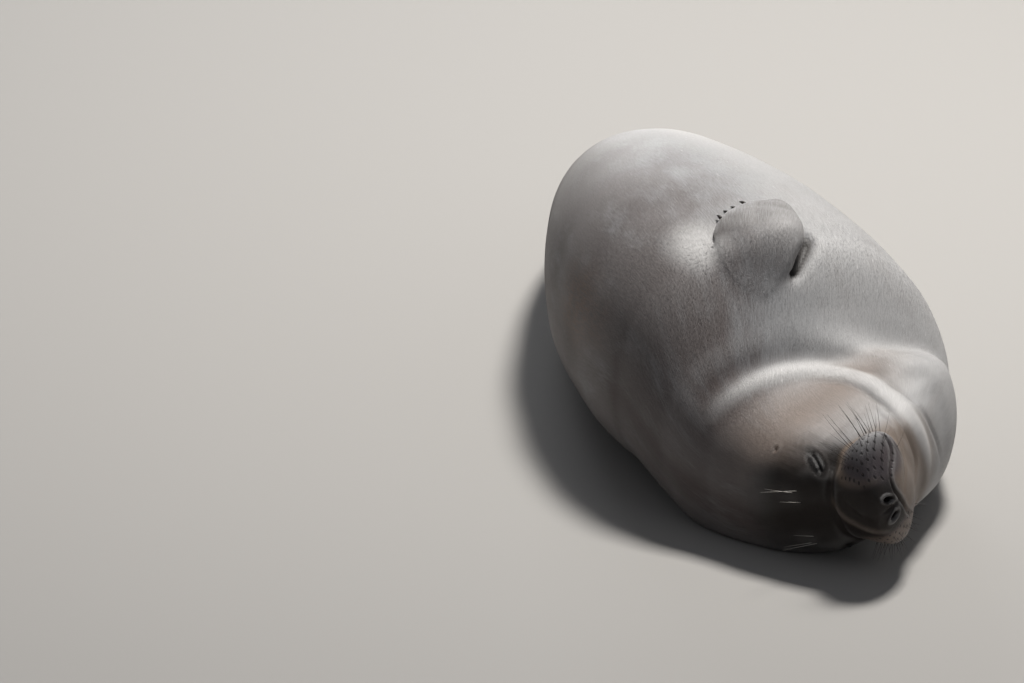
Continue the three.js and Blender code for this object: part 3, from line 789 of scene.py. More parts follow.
@dataclass
class HindFlipper:
    """A hind flipper: five digits fanned out from the ankle, the outer two longest, and a web."""

    ankle: Triple
    heading: float
    fall: float
    unwrap_at: Pair
    # turn from the middle, length and half width of each digit
    digits: tuple[Triple, ...] = (
        (-18, 236, 24), (-8.5, 204, 17), (0, 190, 15), (8.5, 204, 17), (18, 236, 24),
    )
    thick: float = 10.0
    rows: int = 40
    columns: int = 28
    voxel: float = 2.7
    edge: float = 2.0  # how softly it is rounded where it meets the floor
    tip_share: float = 0.92  # of each digit's length that the web reaches
    dip_share: float = 0.85  # of it between two digits
    ankle_half: float = 33.0
    web_middle: float = 90.0

    def turn(self) -> Array:
        """The rotation from the flipper's own directions to the model's."""
        turn = Matrix.Rotation(math.radians(self.heading), 3, "Z") @ Matrix.Rotation(
            math.radians(self.fall), 3, "Y")
        return np.array(turn)

    def digit(self, turn: float, long: float, wide: float) -> Sheet:
        """One digit's flesh, in the flipper's own directions."""
        share = (1 - np.cos(math.pi * np.arange(1, self.rows) / self.rows)) / 2
        share = np.append(np.repeat(share, self.columns), [0.0, 1.0])
        angle = ring_angles(self.columns, self.rows - 1)
        swell = np.sqrt(1 - share ** 7) * np.sqrt(1 - (1 - share) ** 12) * lerp(0.8, 1.1, share)
        v = wide * swell * np.cos(angle)
        w = self.thick * swell * np.sin(angle) * (1 + 0.05 * np.sin(share * long / 5.0))
        c, s = math.cos(math.radians(turn)), math.sin(math.radians(turn))
        u = long * share
        points = np.column_stack([u * c - v * s, u * s + v * c, w])
        faces, unwrap = closed_grid(self.rows - 1, self.columns, np.zeros(self.columns + 1),
                                    np.zeros(self.rows + 1))
        return Sheet(points, faces, points, points, unwrap).face_out()

    def web(self) -> Sheet:
        """The web between the digits, dipping between their tips, as a thin lens."""
        outline = [(0.0, -self.ankle_half)]
        for k, (turn, long, _) in enumerate(self.digits):
            if k:
                before, length = self.digits[k - 1][:2]
                reach, way = min(long, length) * self.dip_share, math.radians((turn + before) / 2)
                outline.append((reach * math.cos(way), reach * math.sin(way)))
            reach, way = long * self.tip_share, math.radians(turn)
            outline.append((reach * math.cos(way), reach * math.sin(way)))
        outline.append((0.0, self.ankle_half))
        edge = np.array(outline)
        middle = np.array([self.web_middle, 0.0])
        rings = [np.column_stack([middle + (edge - middle) * share, np.full(len(edge), height)])
                 for share, height in ((0.5, 4.0), (1.0, 2.5), (1.0, -2.5), (0.5, -4.0))]
        poles = [[self.web_middle, 0.0, height] for height in (4.0, -4.0)]
        points = np.concatenate([*rings, poles])
        faces, unwrap = closed_grid(4, len(edge), np.zeros(len(edge) + 1), np.zeros(6))
        return Sheet(points, faces, points, points, unwrap).face_out()

    def build(self, name: str) -> Object:
        """Makes the flipper as one even closed mesh."""
        sheets = [self.digit(*digit) for digit in self.digits] + [self.web()]
        points, faces, start = [], [], 0
        for sheet in sheets:
            points.append(sheet.points)
            faces += [tuple(i + start for i in face) for face in sheet.faces]
            start += len(sheet.points)
        placed = np.concatenate(points) @ self.turn().T + np.array(self.ankle)
        mesh = bpy.data.meshes.new(name)
        mesh.from_pydata(to_frame(placed).tolist(), [], faces)
        piece = linked(name, mesh)
        remesh = piece.modifiers.new("even", "REMESH")
        remesh.mode, remesh.voxel_size = "VOXEL", self.voxel * MM
        soften = piece.modifiers.new("soften", "SMOOTH")
        soften.factor, soften.iterations = 0.5, 5
        apply_modifiers(piece)
        set_mesh_points(piece.data, above_floor(mesh_points(piece.data), self.edge))
        return piece

    def facts(self, points: Array) -> tuple[Array, Array]:
        """Which way the hair lies at points, and where they are on the flipper."""
        local = (points - np.array(self.ankle)) @ self.turn()
        away = unit(points - np.array(self.ankle))
        return away, np.column_stack([local[:, :2], np.full(len(points), 2.0)])

    def set_unwrap(self, mesh: Mesh) -> None:
        """Lays the flipper's upper and lower sides beside each other in the unwrap."""
        local = (mesh_points(mesh) - np.array(self.ankle)) @ self.turn()
        layer = mesh.uv_layers.new(name="unwrap")
        start_u, start_v = self.unwrap_at
        for face in mesh.polygons:
            side = 0.1 if face.normal.z < 0 else 0.0
            for loop in face.loop_indices:
                u, v, _ = local[mesh.loops[loop].vertex_index]
                layer.data[loop].uv = (start_u + side + (v + 90) / 190 * 0.09,
                                       start_v + u / 260 * 0.21)


def apply_modifiers(piece: Object) -> None:
    """Turns a piece with modifiers into its plain final mesh."""
    graph = bpy.context.evaluated_depsgraph_get()
    final = bpy.data.meshes.new_from_object(piece.evaluated_get(graph))
    piece.modifiers.clear()
    old, name = piece.data, piece.data.name
    piece.data = final
    bpy.data.meshes.remove(old)
    final.name = name


@dataclass
class Skin:
    """The one skin: body, head and flippers joined, with soft roots, and its facts for the coat."""

    body: BodyForm
    grid: BodySkin
    left: ForeFlipper
    right: ForeFlipper
    hind: tuple[HindFlipper, HindFlipper]
    seam_from: float = 0.02  # how far a point is from the forms' own where the join made it
    seam_full: float = 5.0  # how far from the seam the skin is fully evened
    seam_to: float = 17.0
    seam_rounds: int = 26
    seam_pull: float = 0.55
    limb_from: float = 14.0  # where along a flipper its own hair takes over
    limb_to: float = 74.0
    even_rounds: int = 8
    hollow_rounds: int = 3

    def build(self) -> Object:
        """Joins the forms into one mesh and stores its facts at its points."""
        sheet = self.grid.build()
        skin = sheet.to_object("skin")
        LOG.info("body grid: %d points, %d faces", len(sheet.points), len(sheet.faces))
        surface = BVHTree.FromPolygons(sheet.points.tolist(), sheet.faces)
        normals = mesh_normals(skin.data)
        sunk = self.grid.folds.pocket.relief(sheet.points, normals)
        sheet.points = sheet.points + normals * sunk[:, None]
        set_mesh_points(skin.data, sheet.points)
        sources = [(sheet.points, sheet.lie, sheet.track)]
        joined = []
        for flipper, under, name in ((self.left, surface, "blade_left"),
                                     (self.right, None, "blade_right")):
            blade = flipper.build(under)
            joined.append(blade.to_object(name))
            sources.append((blade.points, blade.lie, blade.track))
        for flipper, name in zip(self.hind, ("hind_left", "hind_right")):
            piece = flipper.build(name)
            flipper.set_unwrap(piece.data)
            points = mesh_points(piece.data)
            sources.append((points, *flipper.facts(points)))
            joined.append(piece)
        for piece in joined:
            union = skin.modifiers.new("join", "BOOLEAN")
            union.operation, union.solver, union.object = "UNION", "MANIFOLD", piece
        apply_modifiers(skin)
        for piece in joined:
            bpy.data.objects.remove(piece)
        self.soften_roots(skin.data, np.concatenate([source[0] for source in sources]))
        self.store_facts(skin.data, sources)
        skin.data.polygons.foreach_set("use_smooth", [True] * len(skin.data.polygons))
        LOG.info("skin: %d points, %d faces", len(skin.data.vertices), len(skin.data.polygons))
        return skin

    def soften_roots(self, mesh: Mesh, before: Array) -> None:
        """Evens the skin round the lines where the flippers grow from it."""
        points = mesh_points(mesh)
        seam = points[nearest(before, points)[1] > self.seam_from]
        if not len(seam):
            LOG.warning("no root line found")
            return
        away = nearest(seam, points)[1]
        weight = (1 - smooth(away, self.seam_full, self.seam_to))[:, None]
        near = np.where(away < self.seam_to + 1)[0]
        edges = mesh_edges(mesh)
        is_near = np.zeros(len(points), bool)
        is_near[near] = True
        edges = edges[is_near[edges].any(1)]
        for _ in range(self.seam_rounds):
            mean = neighbour_mean(points, edges)
            points[near] = lerp(points[near], mean[near], self.seam_pull * weight[near])
        points[near, 2] = np.maximum(points[near, 2], 0.05)
        set_mesh_points(mesh, points)

    def store_facts(self, mesh: Mesh, sources: list) -> None:
        """Stores which way the hair lies, the place on the form, and how hollow the skin is."""
        every = [np.concatenate(parts) for parts in zip(*sources)]
        points = mesh_points(mesh)
        index = nearest(every[0], points)[0]
        under = nearest(sources[0][0], points)[0]
        limb = every[2][index]
        limb[:, 2] = smooth(limb[:, 0], self.limb_from, self.limb_to) * np.sign(limb[:, 2])
        lie = unit(lerp(sources[0][1][under], every[1][index], limb[:, 2:]))
        edges, normals = mesh_edges(mesh), mesh_normals(mesh)
        even = points
        for _ in range(self.even_rounds):
            even = neighbour_mean(even, edges)
        hollow = ((even - points) * normals).sum(1)
        for _ in range(self.hollow_rounds):
            hollow = neighbour_mean(hollow[:, None], edges)[:, 0]
        # the crests' tints: partly rubbed hair, partly a painted highlight
        tinted_lines = [line for line in self.grid.folds.lines if line.tint]
        rubbed = sum(line.relief(points, normals) * (line.tint / line.height) for line in tinted_lines)
        track = sources[0][2][under]
        facts = {"rubbed": rubbed, "lie": lie, "track": track, "limb": limb, "hollow": hollow}
        for name, values in facts.items():
            store_fact(mesh, name, values)


def new_node(tree: bpy.types.NodeTree, kind: str, settings: dict | None,
             inputs: dict | None) -> bpy.types.Node:
    """Makes any node in a tree.

    Args:
        tree: the tree.
        kind: the node's type.
        settings: its own settings, set first.
        inputs: values or links for its sockets, by name or number.

    Returns:
        The node.
    """
    made = tree.nodes.new(kind)
    for key, value in (settings or {}).items():
        setattr(made, key, value)
    for key, value in (inputs or {}).items():
        if isinstance(value, Socket):
            tree.links.new(value, made.inputs[key])
        else:
            made.inputs[key].default_value = value
    return made


class Term:
    """A value in a shader tree, with Python's operators making its Math nodes."""

    def __init__(self, shader: "Shader", socket: Socket) -> None:
        """Wraps a node's output socket."""
        self.shader, self.socket = shader, socket

    def math(self, operation: str, *others: "Term | float", first: float | None = None) -> "Term":
        """A Math node on this value and others, or on a first number and this value."""
        values = [first, self] if first is not None else [self, *others]
        inputs = dict(enumerate(values))
        return self.shader.node("ShaderNodeMath", {"operation": operation}, inputs)

    def __add__(self, other: "Term | float") -> "Term":
        """The sum."""
        return self.math("ADD", other)

    __radd__ = __add__

    def __mul__(self, other: "Term | float") -> "Term":
        """The product."""
        return self.math("MULTIPLY", other)

    __rmul__ = __mul__

    def __sub__(self, other: "Term | float") -> "Term":
        """The difference."""
        return self.math("SUBTRACT", other)

    def __rsub__(self, other: float) -> "Term":
        """A number less this value."""
        return self.math("SUBTRACT", first=other)

    def __truediv__(self, other: "Term | float") -> "Term":
        """The quotient."""
        return self.math("DIVIDE", other)

    def __abs__(self) -> "Term":
        """The value without its sign."""
        return self.math("ABSOLUTE")

    def step(self, low: float, high: float) -> "Term":
        """A soft step from 0 at low to 1 at high, which may also fall."""
        limits = {"From Min": low, "From Max": high} if low < high else {
            "From Min": high, "From Max": low, "To Min": 1.0, "To Max": 0.0}
        settings = {"interpolation_type": "SMOOTHSTEP"}
        return self.shader.node("ShaderNodeMapRange", settings, {"Value": self, **limits})

    def bell(self, middle: float, width: float) -> "Term":
        """A soft bell of height 1 round a middle."""
        return abs(self - middle).step(width, 0.0)


class Shader:
    """A material's node tree in the making."""

    def __init__(self, name: str) -> None:
        """Starts an empty material."""
        self.material = bpy.data.materials.new(name)
        self.material.use_nodes = True
        self.tree = self.material.node_tree
        self.tree.nodes.clear()

    def node(self, kind: str, settings: dict | None = None, inputs: dict | None = None,
             output: int | str = 0) -> Term:
        """Makes any node.

        Args:
            kind: the node's type.
            settings: its own settings, set first.
            inputs: values or terms for its sockets, by name or number.
            output: which of its outputs to take.

        Returns:
            The output.
        """
        plain = {key: value.socket if isinstance(value, Term) else value
                 for key, value in (inputs or {}).items()}
        return Term(self, new_node(self.tree, kind, settings, plain).outputs[output])

    def mix(self, share: Term | float, below: Term | tuple, above: Term | tuple,
            blend: str = "MIX") -> Term:
        """Two colours mixed, or blended in another way."""
        colours = [c if isinstance(c, Term) else (*c, 1.0) for c in (below, above)]
        settings = {"data_type": "RGBA", "blend_type": blend, "clamp_factor": True}
        return self.node("ShaderNodeMix", settings, {0: share, 6: colours[0], 7: colours[1]}, 2)

    def blend(self, share: Term, below: Term, above: Term) -> Term:
        """The value that lies a share of the way from one to another."""
        return below + (above - below) * share

    def fact(self, name: str, output: str = "Vector") -> Term:
        """A fact stored at the mesh's points."""
        return self.node("ShaderNodeAttribute", {"attribute_name": name}, None, output)

    def vector(self, operation: str, first: Term, second: Term | tuple, third: tuple = (),
               output: int = 0) -> Term:
        """A Vector Math node."""
        inputs = {0: first, 1: second, **({2: third} if third else {})}
        return self.node("ShaderNodeVectorMath", {"operation": operation}, inputs, output)

    def part(self, vector: Term, axis: int) -> Term:
        """One coordinate of a vector."""
        return self.node("ShaderNodeSeparateXYZ", None, {0: vector}, axis)

    def scaled(self, place: Term, scale: Triple) -> Term:
        """A place with each coordinate multiplied by its own scale."""
        return self.vector("MULTIPLY", place, scale)

    def distance(self, place: Term, centre: Triple) -> Term:
        """How far a place lies from a centre."""
        return self.vector("DISTANCE", place, centre, output=1)

    def noise(self, place: Term, scale: Triple, detail: float = 3.0) -> Term:
        """Soft noise from 0 to 1 whose grain is stretched by a scale in each direction."""
        inputs = {"Vector": self.scaled(place, scale), "Scale": 1.0, "Detail": detail,
                  "Roughness": 0.55}
        return self.node("ShaderNodeTexNoise", {"noise_dimensions": "3D"}, inputs)

    def cells(self, place: Term, scale: Triple) -> Term:
        """The distance from the middles of scattered cells."""
        inputs = {"Vector": self.scaled(place, scale), "Scale": 1.0, "Randomness": 1.0}
        return self.node("ShaderNodeTexVoronoi", {"feature": "F1"}, inputs, "Distance")

    def finish(self, colour: Term | tuple, roughness: Term | float, height: Term | None = None,
               bump: float = 0.0, **fixed: float | tuple) -> Material:
        """Ends the tree in a surface.

        Args:
            colour: the base colour.
            roughness: the roughness.
            height: what the bump is made from, in millimetres, if there is any.
            bump: the bump's strength.
            fixed: values that are the same all over, by socket name with _ for spaces.

        Returns:
            The material.
        """
        inputs = {"Base Color": colour if isinstance(colour, Term) else (*colour, 1.0),
                  "Roughness": roughness}
        inputs.update({name.replace("_", " "): value for name, value in fixed.items()})
        if height is not None:
            inputs["Normal"] = self.node("ShaderNodeBump", None, {
                "Strength": bump, "Distance": MM, "Height": height})
        surface = self.node("ShaderNodeBsdfPrincipled", None, inputs)
        new_node(self.tree, "ShaderNodeOutputMaterial", None, {"Surface": surface.socket})
        return self.material


class Grain(Enum):
    """What a coat finish is laid on."""

    SKIN = "skin"
    TUFT = "tuft"


@dataclass(frozen=True)
class CoatColours:
    """The colours of the coat and the bare skin."""

    silver: tuple = (0.240, 0.241, 0.246)
    pale: tuple = (0.50, 0.490, 0.482)
    warm: tuple = (0.096, 0.078, 0.074)
    umber: tuple = (0.050, 0.040, 0.034)
    peach: tuple = (0.200, 0.148, 0.116)
    rust: tuple = (0.17, 0.090, 0.048)
    face: tuple = (0.016, 0.012, 0.010)
    pad: tuple = (0.080, 0.068, 0.073)
    pad_edge: tuple = (0.25, 0.190, 0.145)
    chin: tuple = (0.125, 0.088, 0.062)
    lid: tuple = (0.012, 0.011, 0.011)
    bare: tuple = (0.014, 0.012, 0.012)
    flipper: tuple = (0.20, 0.188, 0.178)


class CoatPlaces:
    """Where each spot of the coat lies, and the patterns of the hair there."""

    def __init__(self, s: Shader, pose: HeadPose) -> None:
        """Reads the facts stored on the mesh, in millimetres, and makes the patterns."""
        objects = s.node("ShaderNodeTexCoord", None, None, "Object")
        self.place = s.vector("MULTIPLY_ADD", objects, (1 / MM,) * 3, tuple(FOOTPRINT_CENTRE))
        from_eyes = s.vector("SUBTRACT", self.place, tuple(pose.eyes))
        self.nose, self.cheek, self.crown = (
            s.vector("DOT_PRODUCT", from_eyes, tuple(axis), output=1) for axis in pose.axes)
        self.track, limb = s.fact("track"), s.fact("limb")
        self.along, self.around = (s.part(self.track, axis) for axis in (0, 1))
        self.forward, self.on_limb = (s.part(limb, axis) for axis in (1, 2))
        self.on_body = self.on_limb.step(0.5, 0.1)
        # slow mottling, patches drawn out along the lie, and the streaks of the hair itself
        self.mottle = s.noise(self.place, (0.006,) * 3)
        self.patches = s.noise(self.track, (0.011, 0.024, 1.0), 4.0)
        self.streaks, self.hairs = (
            s.blend(self.on_limb, s.noise(self.track, grain), s.noise(limb, grain))
            for grain in ((0.05, 0.62, 0.0), (0.22, 2.3, 0.0)))
        self.streak = self.streaks - 0.5
        # how far the edges of the markings stray
        self.edge = (self.mottle - 0.5) * 60 + (self.patches - 0.5) * 44 + self.streak * 22
        sideways = abs(self.cheek)
        folded = s.node("ShaderNodeCombineXYZ", None, {0: self.nose, 1: sideways, 2: self.crown})
        self.sideways = sideways
        self.to_nostril = s.distance(folded, MARKS.nostril)
        self.to_pad = s.distance(s.scaled(folded, MARKS.pad_squash), MARKS.pad)


@dataclass(frozen=True)
class CoatFinish:
    """The short fur of the whole animal with its markings, for the skin and for its tufts."""

    grain: Grain
    pose: HeadPose
    colours: CoatColours = CoatColours()
    # a painted sheen beside the flipper and stained spots behind it: their middles, and their
    # squash
    painted_sheen_at: Triple = (-48.0, 284.0, 334.0)
    painted_sheen_squash: Triple = (1.0, 0.8, 1.0)
    stain_at: Triple = (-168.0, 267.0, 205.0)
    stain_squash: Triple = (1.0, 0.55, 1.0)
    bump: float = 0.55
    sheen: float = 0.03
    sheen_roughness: float = 0.35
    gloss: float = 0.22

    def make(self) -> Material:
        """Makes the material."""
        s, c = Shader(f"coat_{self.grain.value}"), self.colours
        at = CoatPlaces(s, self.pose)
        tone, colour = self.fur(s, at)
        colour = self.face(s, at, colour)
        pad, pits, colour = self.pads(s, at, colour)
        nostril = at.to_nostril.step(16, 9) * at.on_body
        colour = s.mix(nostril * 0.9, colour, c.bare)
        flipper = s.mix(tone.step(0.0, 1.1), c.umber, c.flipper)
        flipper = s.mix(at.streaks.step(0.4, 0.75) * 0.5, flipper, c.silver)
        flipper = s.mix(at.forward.step(20, 62) * 0.3, flipper, c.silver)
        colour = s.mix(at.on_limb * 0.72, colour, flipper)
        colour = self.wear_and_painted_light(s, at, colour)
        lid = (s.fact("lid_oval", "Fac") + at.streak * 0.8).step(2.2, 0.8)
        colour = self.shaded(s, at, s.mix(lid * 0.9, colour, c.lid))
        wet = (nostril + pad * 0.25).math("MINIMUM", 1.0)
        roughness = 0.5 + at.streak * 0.2 - wet * 0.22
        fixed = {"Sheen_Weight": self.sheen, "Sheen_Roughness": self.sheen_roughness,
                 "Specular_IOR_Level": self.gloss}
        if self.grain is Grain.TUFT:
            return s.finish(colour, roughness, **fixed)
        height = (at.hairs - 0.5) * 0.5 + at.streak * 0.5
        height = height - s.cells(at.track, (0.2, 1.6, 1.0)) * 0.12 - pits * 1.1
        height = height + pad * (s.noise(at.place, (0.45,) * 3) - 0.5) * 0.7
        height = height + lid * (s.noise(at.place, (0.35,) * 3) - 0.5) * 1.1
        return s.finish(colour, roughness, height, self.bump, **fixed)

    def fur(self, s: Shader, at: CoatPlaces) -> tuple[Term, Term]:
        """The fur's tone, from 0 for dark to 1 for pale, and its colour on the body."""
        c, edge, around = self.colours, at.edge, at.around
        to_back = (around + edge).step(620, 760) * around.step(1250, 1100)
        to_belly = (around + edge).step(660, 540)
        tone = (at.patches - 0.5) * 1.7 + (at.mottle - 0.5) * 0.7 + at.streak * 0.7 + 0.58
        tone = tone + to_belly * 0.34 - to_back * 0.50
        colour = s.mix(tone.step(0.0, 1.0), c.warm, c.silver)
        # a painted sheen: the far top of the back is painted pale; the pale belly is the coat's own
        # colour
        far_top_sheen = at.along.step(520, 900) * around.step(1000, 700) * 0.45
        colour = s.mix(far_top_sheen + to_belly * 0.52, colour, c.pale)
        # a painted sheen: the hair is painted pale where the flank bulges beside the upper flipper
        painted_sheen = s.distance(s.scaled(at.place, self.painted_sheen_squash), self.painted_sheen_at)
        colour = s.mix((painted_sheen + edge * 0.3).step(62, 8) * at.on_body, colour, c.pale)
        stain = s.distance(s.scaled(at.place, self.stain_squash), self.stain_at)
        stain = (stain + edge * 0.7).step(85, 10) * at.streaks.step(0.36, 0.62)
        return tone, s.mix(stain * 0.75 * at.on_body, colour, c.rust)

    def face(self, s: Shader, at: CoatPlaces, colour: Term) -> Term:
        """The colour with the tan cheek, the dark mask and the chin."""
        c, edge = self.colours, at.edge
        cheek_patch = (at.along + edge * 0.4).bell(66, 112)
        cheek_patch = cheek_patch * at.around.step(420, 560) * at.around.step(900, 740)
        colour = s.mix(cheek_patch * 0.8, colour, c.peach)
        mask = (at.nose + at.crown.step(0, 60) * 40 + edge * 0.45).step(-78, -22)
        mask = mask * (at.crown + edge * 0.3).step(-62, -26)
        mask = mask * (at.sideways + at.nose.step(60, 0) * 18 + edge * 0.4).step(112, 76)
        colour = s.mix(mask * at.on_body * 0.95, colour, c.face)
        chin = (at.nose + edge * 0.2).step(18, 62) * at.crown.step(-22, -44) * at.on_body
        return s.mix(chin * 0.85, colour, c.chin)

    def pads(self, s: Shader, at: CoatPlaces, colour: Term) -> tuple[Term, Term, Term]:
        """Where the whisker pads and their pits are, and the colour with both."""
        c, cheek = self.colours, at.cheek + at.edge * 0.4
        pad = (at.to_pad + at.streak * 8).step(46, 30) * at.on_body
        colour = s.mix(pad * 0.9, colour, c.pad)
        # a painted highlight: the outer side of the upper pad is painted silver
        colour = s.mix(pad * cheek.step(58, 92) * 0.75, colour, c.silver)
        colour = s.mix(pad * cheek.step(-14, -44) * 0.5, colour, c.pad_edge)
        rim = at.to_pad.bell(41, 11) * at.sideways.step(34, 58) * at.on_body
        colour = s.mix(rim * 0.75, colour, c.pad_edge)
        # the pits that the whiskers grow from, on a grid of offset rows
        row = at.crown / MARKS.pit_rows
        nearest_row = row.math("ROUND")
        column = at.nose / MARKS.pit_columns + nearest_row.math("MODULO", 2.0) * 0.5
        off_row = (row - nearest_row) * MARKS.pit_rows
        off_column = (column - column.math("ROUND")) * MARKS.pit_columns
        off = (off_row * off_row + off_column * off_column).math("SQRT")
        pits = off.step(2.0, 0.9) * at.to_pad.step(45, 36) * at.on_body * at.sideways.step(22, 32)
        return pad, pits, s.mix(pits * 0.9, colour, c.bare)

    def wear_and_painted_light(self, s: Shader, at: CoatPlaces, colour: Term) -> Term:
        """The colour with painted shade in the hollows, a little paler on bulges, and the tinted
        crests painted tan and pale grey: partly rubbed hair, partly a painted highlight.
        """
        c, hollow, rubbed = self.colours, s.fact("hollow", "Fac"), s.fact("rubbed", "Fac")
        # the tinted crests painted tan and pale grey: partly rubbed hair, partly a painted
        # highlight
        tan = (rubbed + at.streak * 0.8).step(0.1, 1.1)
        for share, above in (
            (tan * 0.28, c.pad_edge),
            (rubbed.step(0.0, -0.9) * 0.85, c.pale),
            # painted shade: the hollows are darkened to umber, and the deepest nearly to the mask's
            # black
            (hollow.step(0.1, 1.0) * 0.35, c.umber),
            (hollow.step(0.7, 2.2) * 0.8, c.face),
            (hollow.step(-0.05, -0.7) * 0.2, c.pale),
        ):
            colour = s.mix(share, colour, above)
        return colour

    def shaded(self, s: Shader, at: CoatPlaces, colour: Term) -> Term:
        """The colour with each hair a little lighter or darker, and pale scuffs."""
        light = at.streak * 0.5 + (at.hairs - 0.5) * 0.34 + 1.0
        if self.grain is Grain.TUFT:
            light = light + (s.fact("shade", "Fac") - 0.5) * 0.2
        light = light + s.cells(at.track, (0.02, 0.11, 1.0)).step(0.10, 0.03) * 0.35 * at.on_body
        grey = s.node("ShaderNodeCombineColor", None, {0: light, 1: light, 2: light})
        return s.mix(1.0, colour, grey, "MULTIPLY")


@dataclass(frozen=True)
class HornFinish:
    """Claws and whiskers: horn, dark or pale, with a paler grain."""

    name: str
    colour: tuple
    paler: tuple
    roughness: float = 0.35
    fineness: float = 420.0  # of the grain, to the metre
    bump: float = 0.2

    def make(self) -> Material:
        """Makes the material."""
        s = Shader(self.name)
        objects = s.node("ShaderNodeTexCoord", None, None, "Object")
        grain = s.noise(objects, (self.fineness,) * 3)
        colour = s.mix(grain.step(0.35, 0.7), self.colour, self.paler)
        return s.finish(colour, self.roughness + (grain - 0.5) * 0.2, grain, self.bump)


class GeometryTree:
    """A Geometry Nodes tree in the making, with named inputs."""

    def __init__(self, name: str) -> None:
        """Starts a tree that takes and gives geometry."""
        self.tree = bpy.data.node_groups.new(name, "GeometryNodeTree")
        face = self.tree.interface
        face.new_socket("Geometry", in_out="INPUT", socket_type="NodeSocketGeometry")
        face.new_socket("Geometry", in_out="OUTPUT", socket_type="NodeSocketGeometry")
        self.source = self.tree.nodes.new("NodeGroupInput")
        self.sink = self.tree.nodes.new("NodeGroupOutput")
        self.identifiers: dict[str, str] = {}

    def take(self, name: str, kind: str) -> Socket:
        """Adds a named input and gives its socket."""
        made = self.tree.interface.new_socket(
            name, in_out="INPUT", socket_type=f"NodeSocket{kind}")
        self.identifiers[name] = made.identifier
        return self.source.outputs[name]

    def node(self, kind: str, settings: dict | None = None, inputs: dict | None = None,
             output: int | str = 0) -> Socket:
        """Makes any node and gives one of its outputs."""
        return new_node(self.tree, kind, settings, inputs).outputs[output]

    def part(self, vector: Socket, axis: int) -> Socket:
        """One coordinate of a vector."""
        return self.node("ShaderNodeSeparateXYZ", None, {0: vector}, axis)

    def fact(self, name: str, kind: str) -> Socket:
        """A fact stored on the geometry."""
        return self.node("GeometryNodeInputNamedAttribute", {"data_type": kind}, {"Name": name})

    def store(self, geometry: Socket, name: str, kind: str, domain: str,
              value: Socket) -> Socket:
        """Stores a fact on the geometry."""
        return self.node("GeometryNodeStoreNamedAttribute",
                         {"data_type": kind, "domain": domain},
                         {"Geometry": geometry, "Name": name, "Value": value})

    def math(self, operation: str, *values: Socket | float) -> Socket:
        """A Math node."""
        return self.node("ShaderNodeMath", {"operation": operation}, dict(enumerate(values)))

    def vector(self, operation: str, *values: Socket | tuple,
               scale: Socket | float | None = None) -> Socket:
        """A Vector Math node."""
        inputs = dict(enumerate(values))
        if scale is not None:
            inputs["Scale"] = scale
        return self.node("ShaderNodeVectorMath", {"operation": operation}, inputs)

    def end(self, geometry: Socket, material: Socket) -> None:
        """Ends the tree with real geometry in its material."""
        real = self.node("GeometryNodeRealizeInstances", None, {"Geometry": geometry})
        dressed = self.node("GeometryNodeSetMaterial", None,
                            {"Geometry": real, "Material": material})
        self.tree.links.new(dressed, self.sink.inputs[0])

    def grow(self, source: Object, name: str, **inputs: object) -> Object:
        """Runs the tree on an object and makes its result a plain mesh object.

        Args:
            source: the object that the tree grows from.
            name: the new piece's name.
            inputs: the tree's inputs, by name with _ for spaces.

        Returns:
            The new piece.
        """
        growth = source.modifiers.new(name, "NODES")
        growth.node_group = self.tree
        for key, value in inputs.items():
            growth[self.identifiers[key.replace("_", " ")]] = value
        graph = bpy.context.evaluated_depsgraph_get()
        mesh = bpy.data.meshes.new_from_object(source.evaluated_get(graph))
        source.modifiers.remove(growth)
        mesh.name = name
        mesh.materials.clear()
        mesh.materials.append(inputs["Material"])
        LOG.info("%s: %d points, %d faces", name, len(mesh.vertices), len(mesh.polygons))
        return linked(name, mesh)

    def grow_from_points(self, name: str, places: Array, facts: dict[str, Array],
                         **inputs: object) -> Object:
        """Runs the tree on bare points and makes its result a plain mesh object.

        Args:
            name: the new piece's name.
            places: the points, in millimetres from the eyes.
            facts: what is stored at the points, by name.
            inputs: the tree's inputs, by name with _ for spaces.

        Returns:
            The new piece.
        """
        mesh = bpy.data.meshes.new(f"{name}_roots")
        mesh.from_pydata(to_frame(places).tolist(), [], [])
        for fact, values in facts.items():
            store_fact(mesh, fact, values)
        source = linked(f"{name}_roots", mesh)
        piece = self.grow(source, name, **inputs)
        bpy.data.objects.remove(source)
        return piece


@dataclass(frozen=True)
class CoatPart:
    """One piece of the coat: which stretch it covers, and how long and close its tufts are."""

    name: str
    slot: str
    start: float  # mm along the body
    end: float
    kind: float  # 0 for the body and 1 for the flippers
    length: float  # mm
    width: float
    density: float  # tufts to the square metre
    seed: int


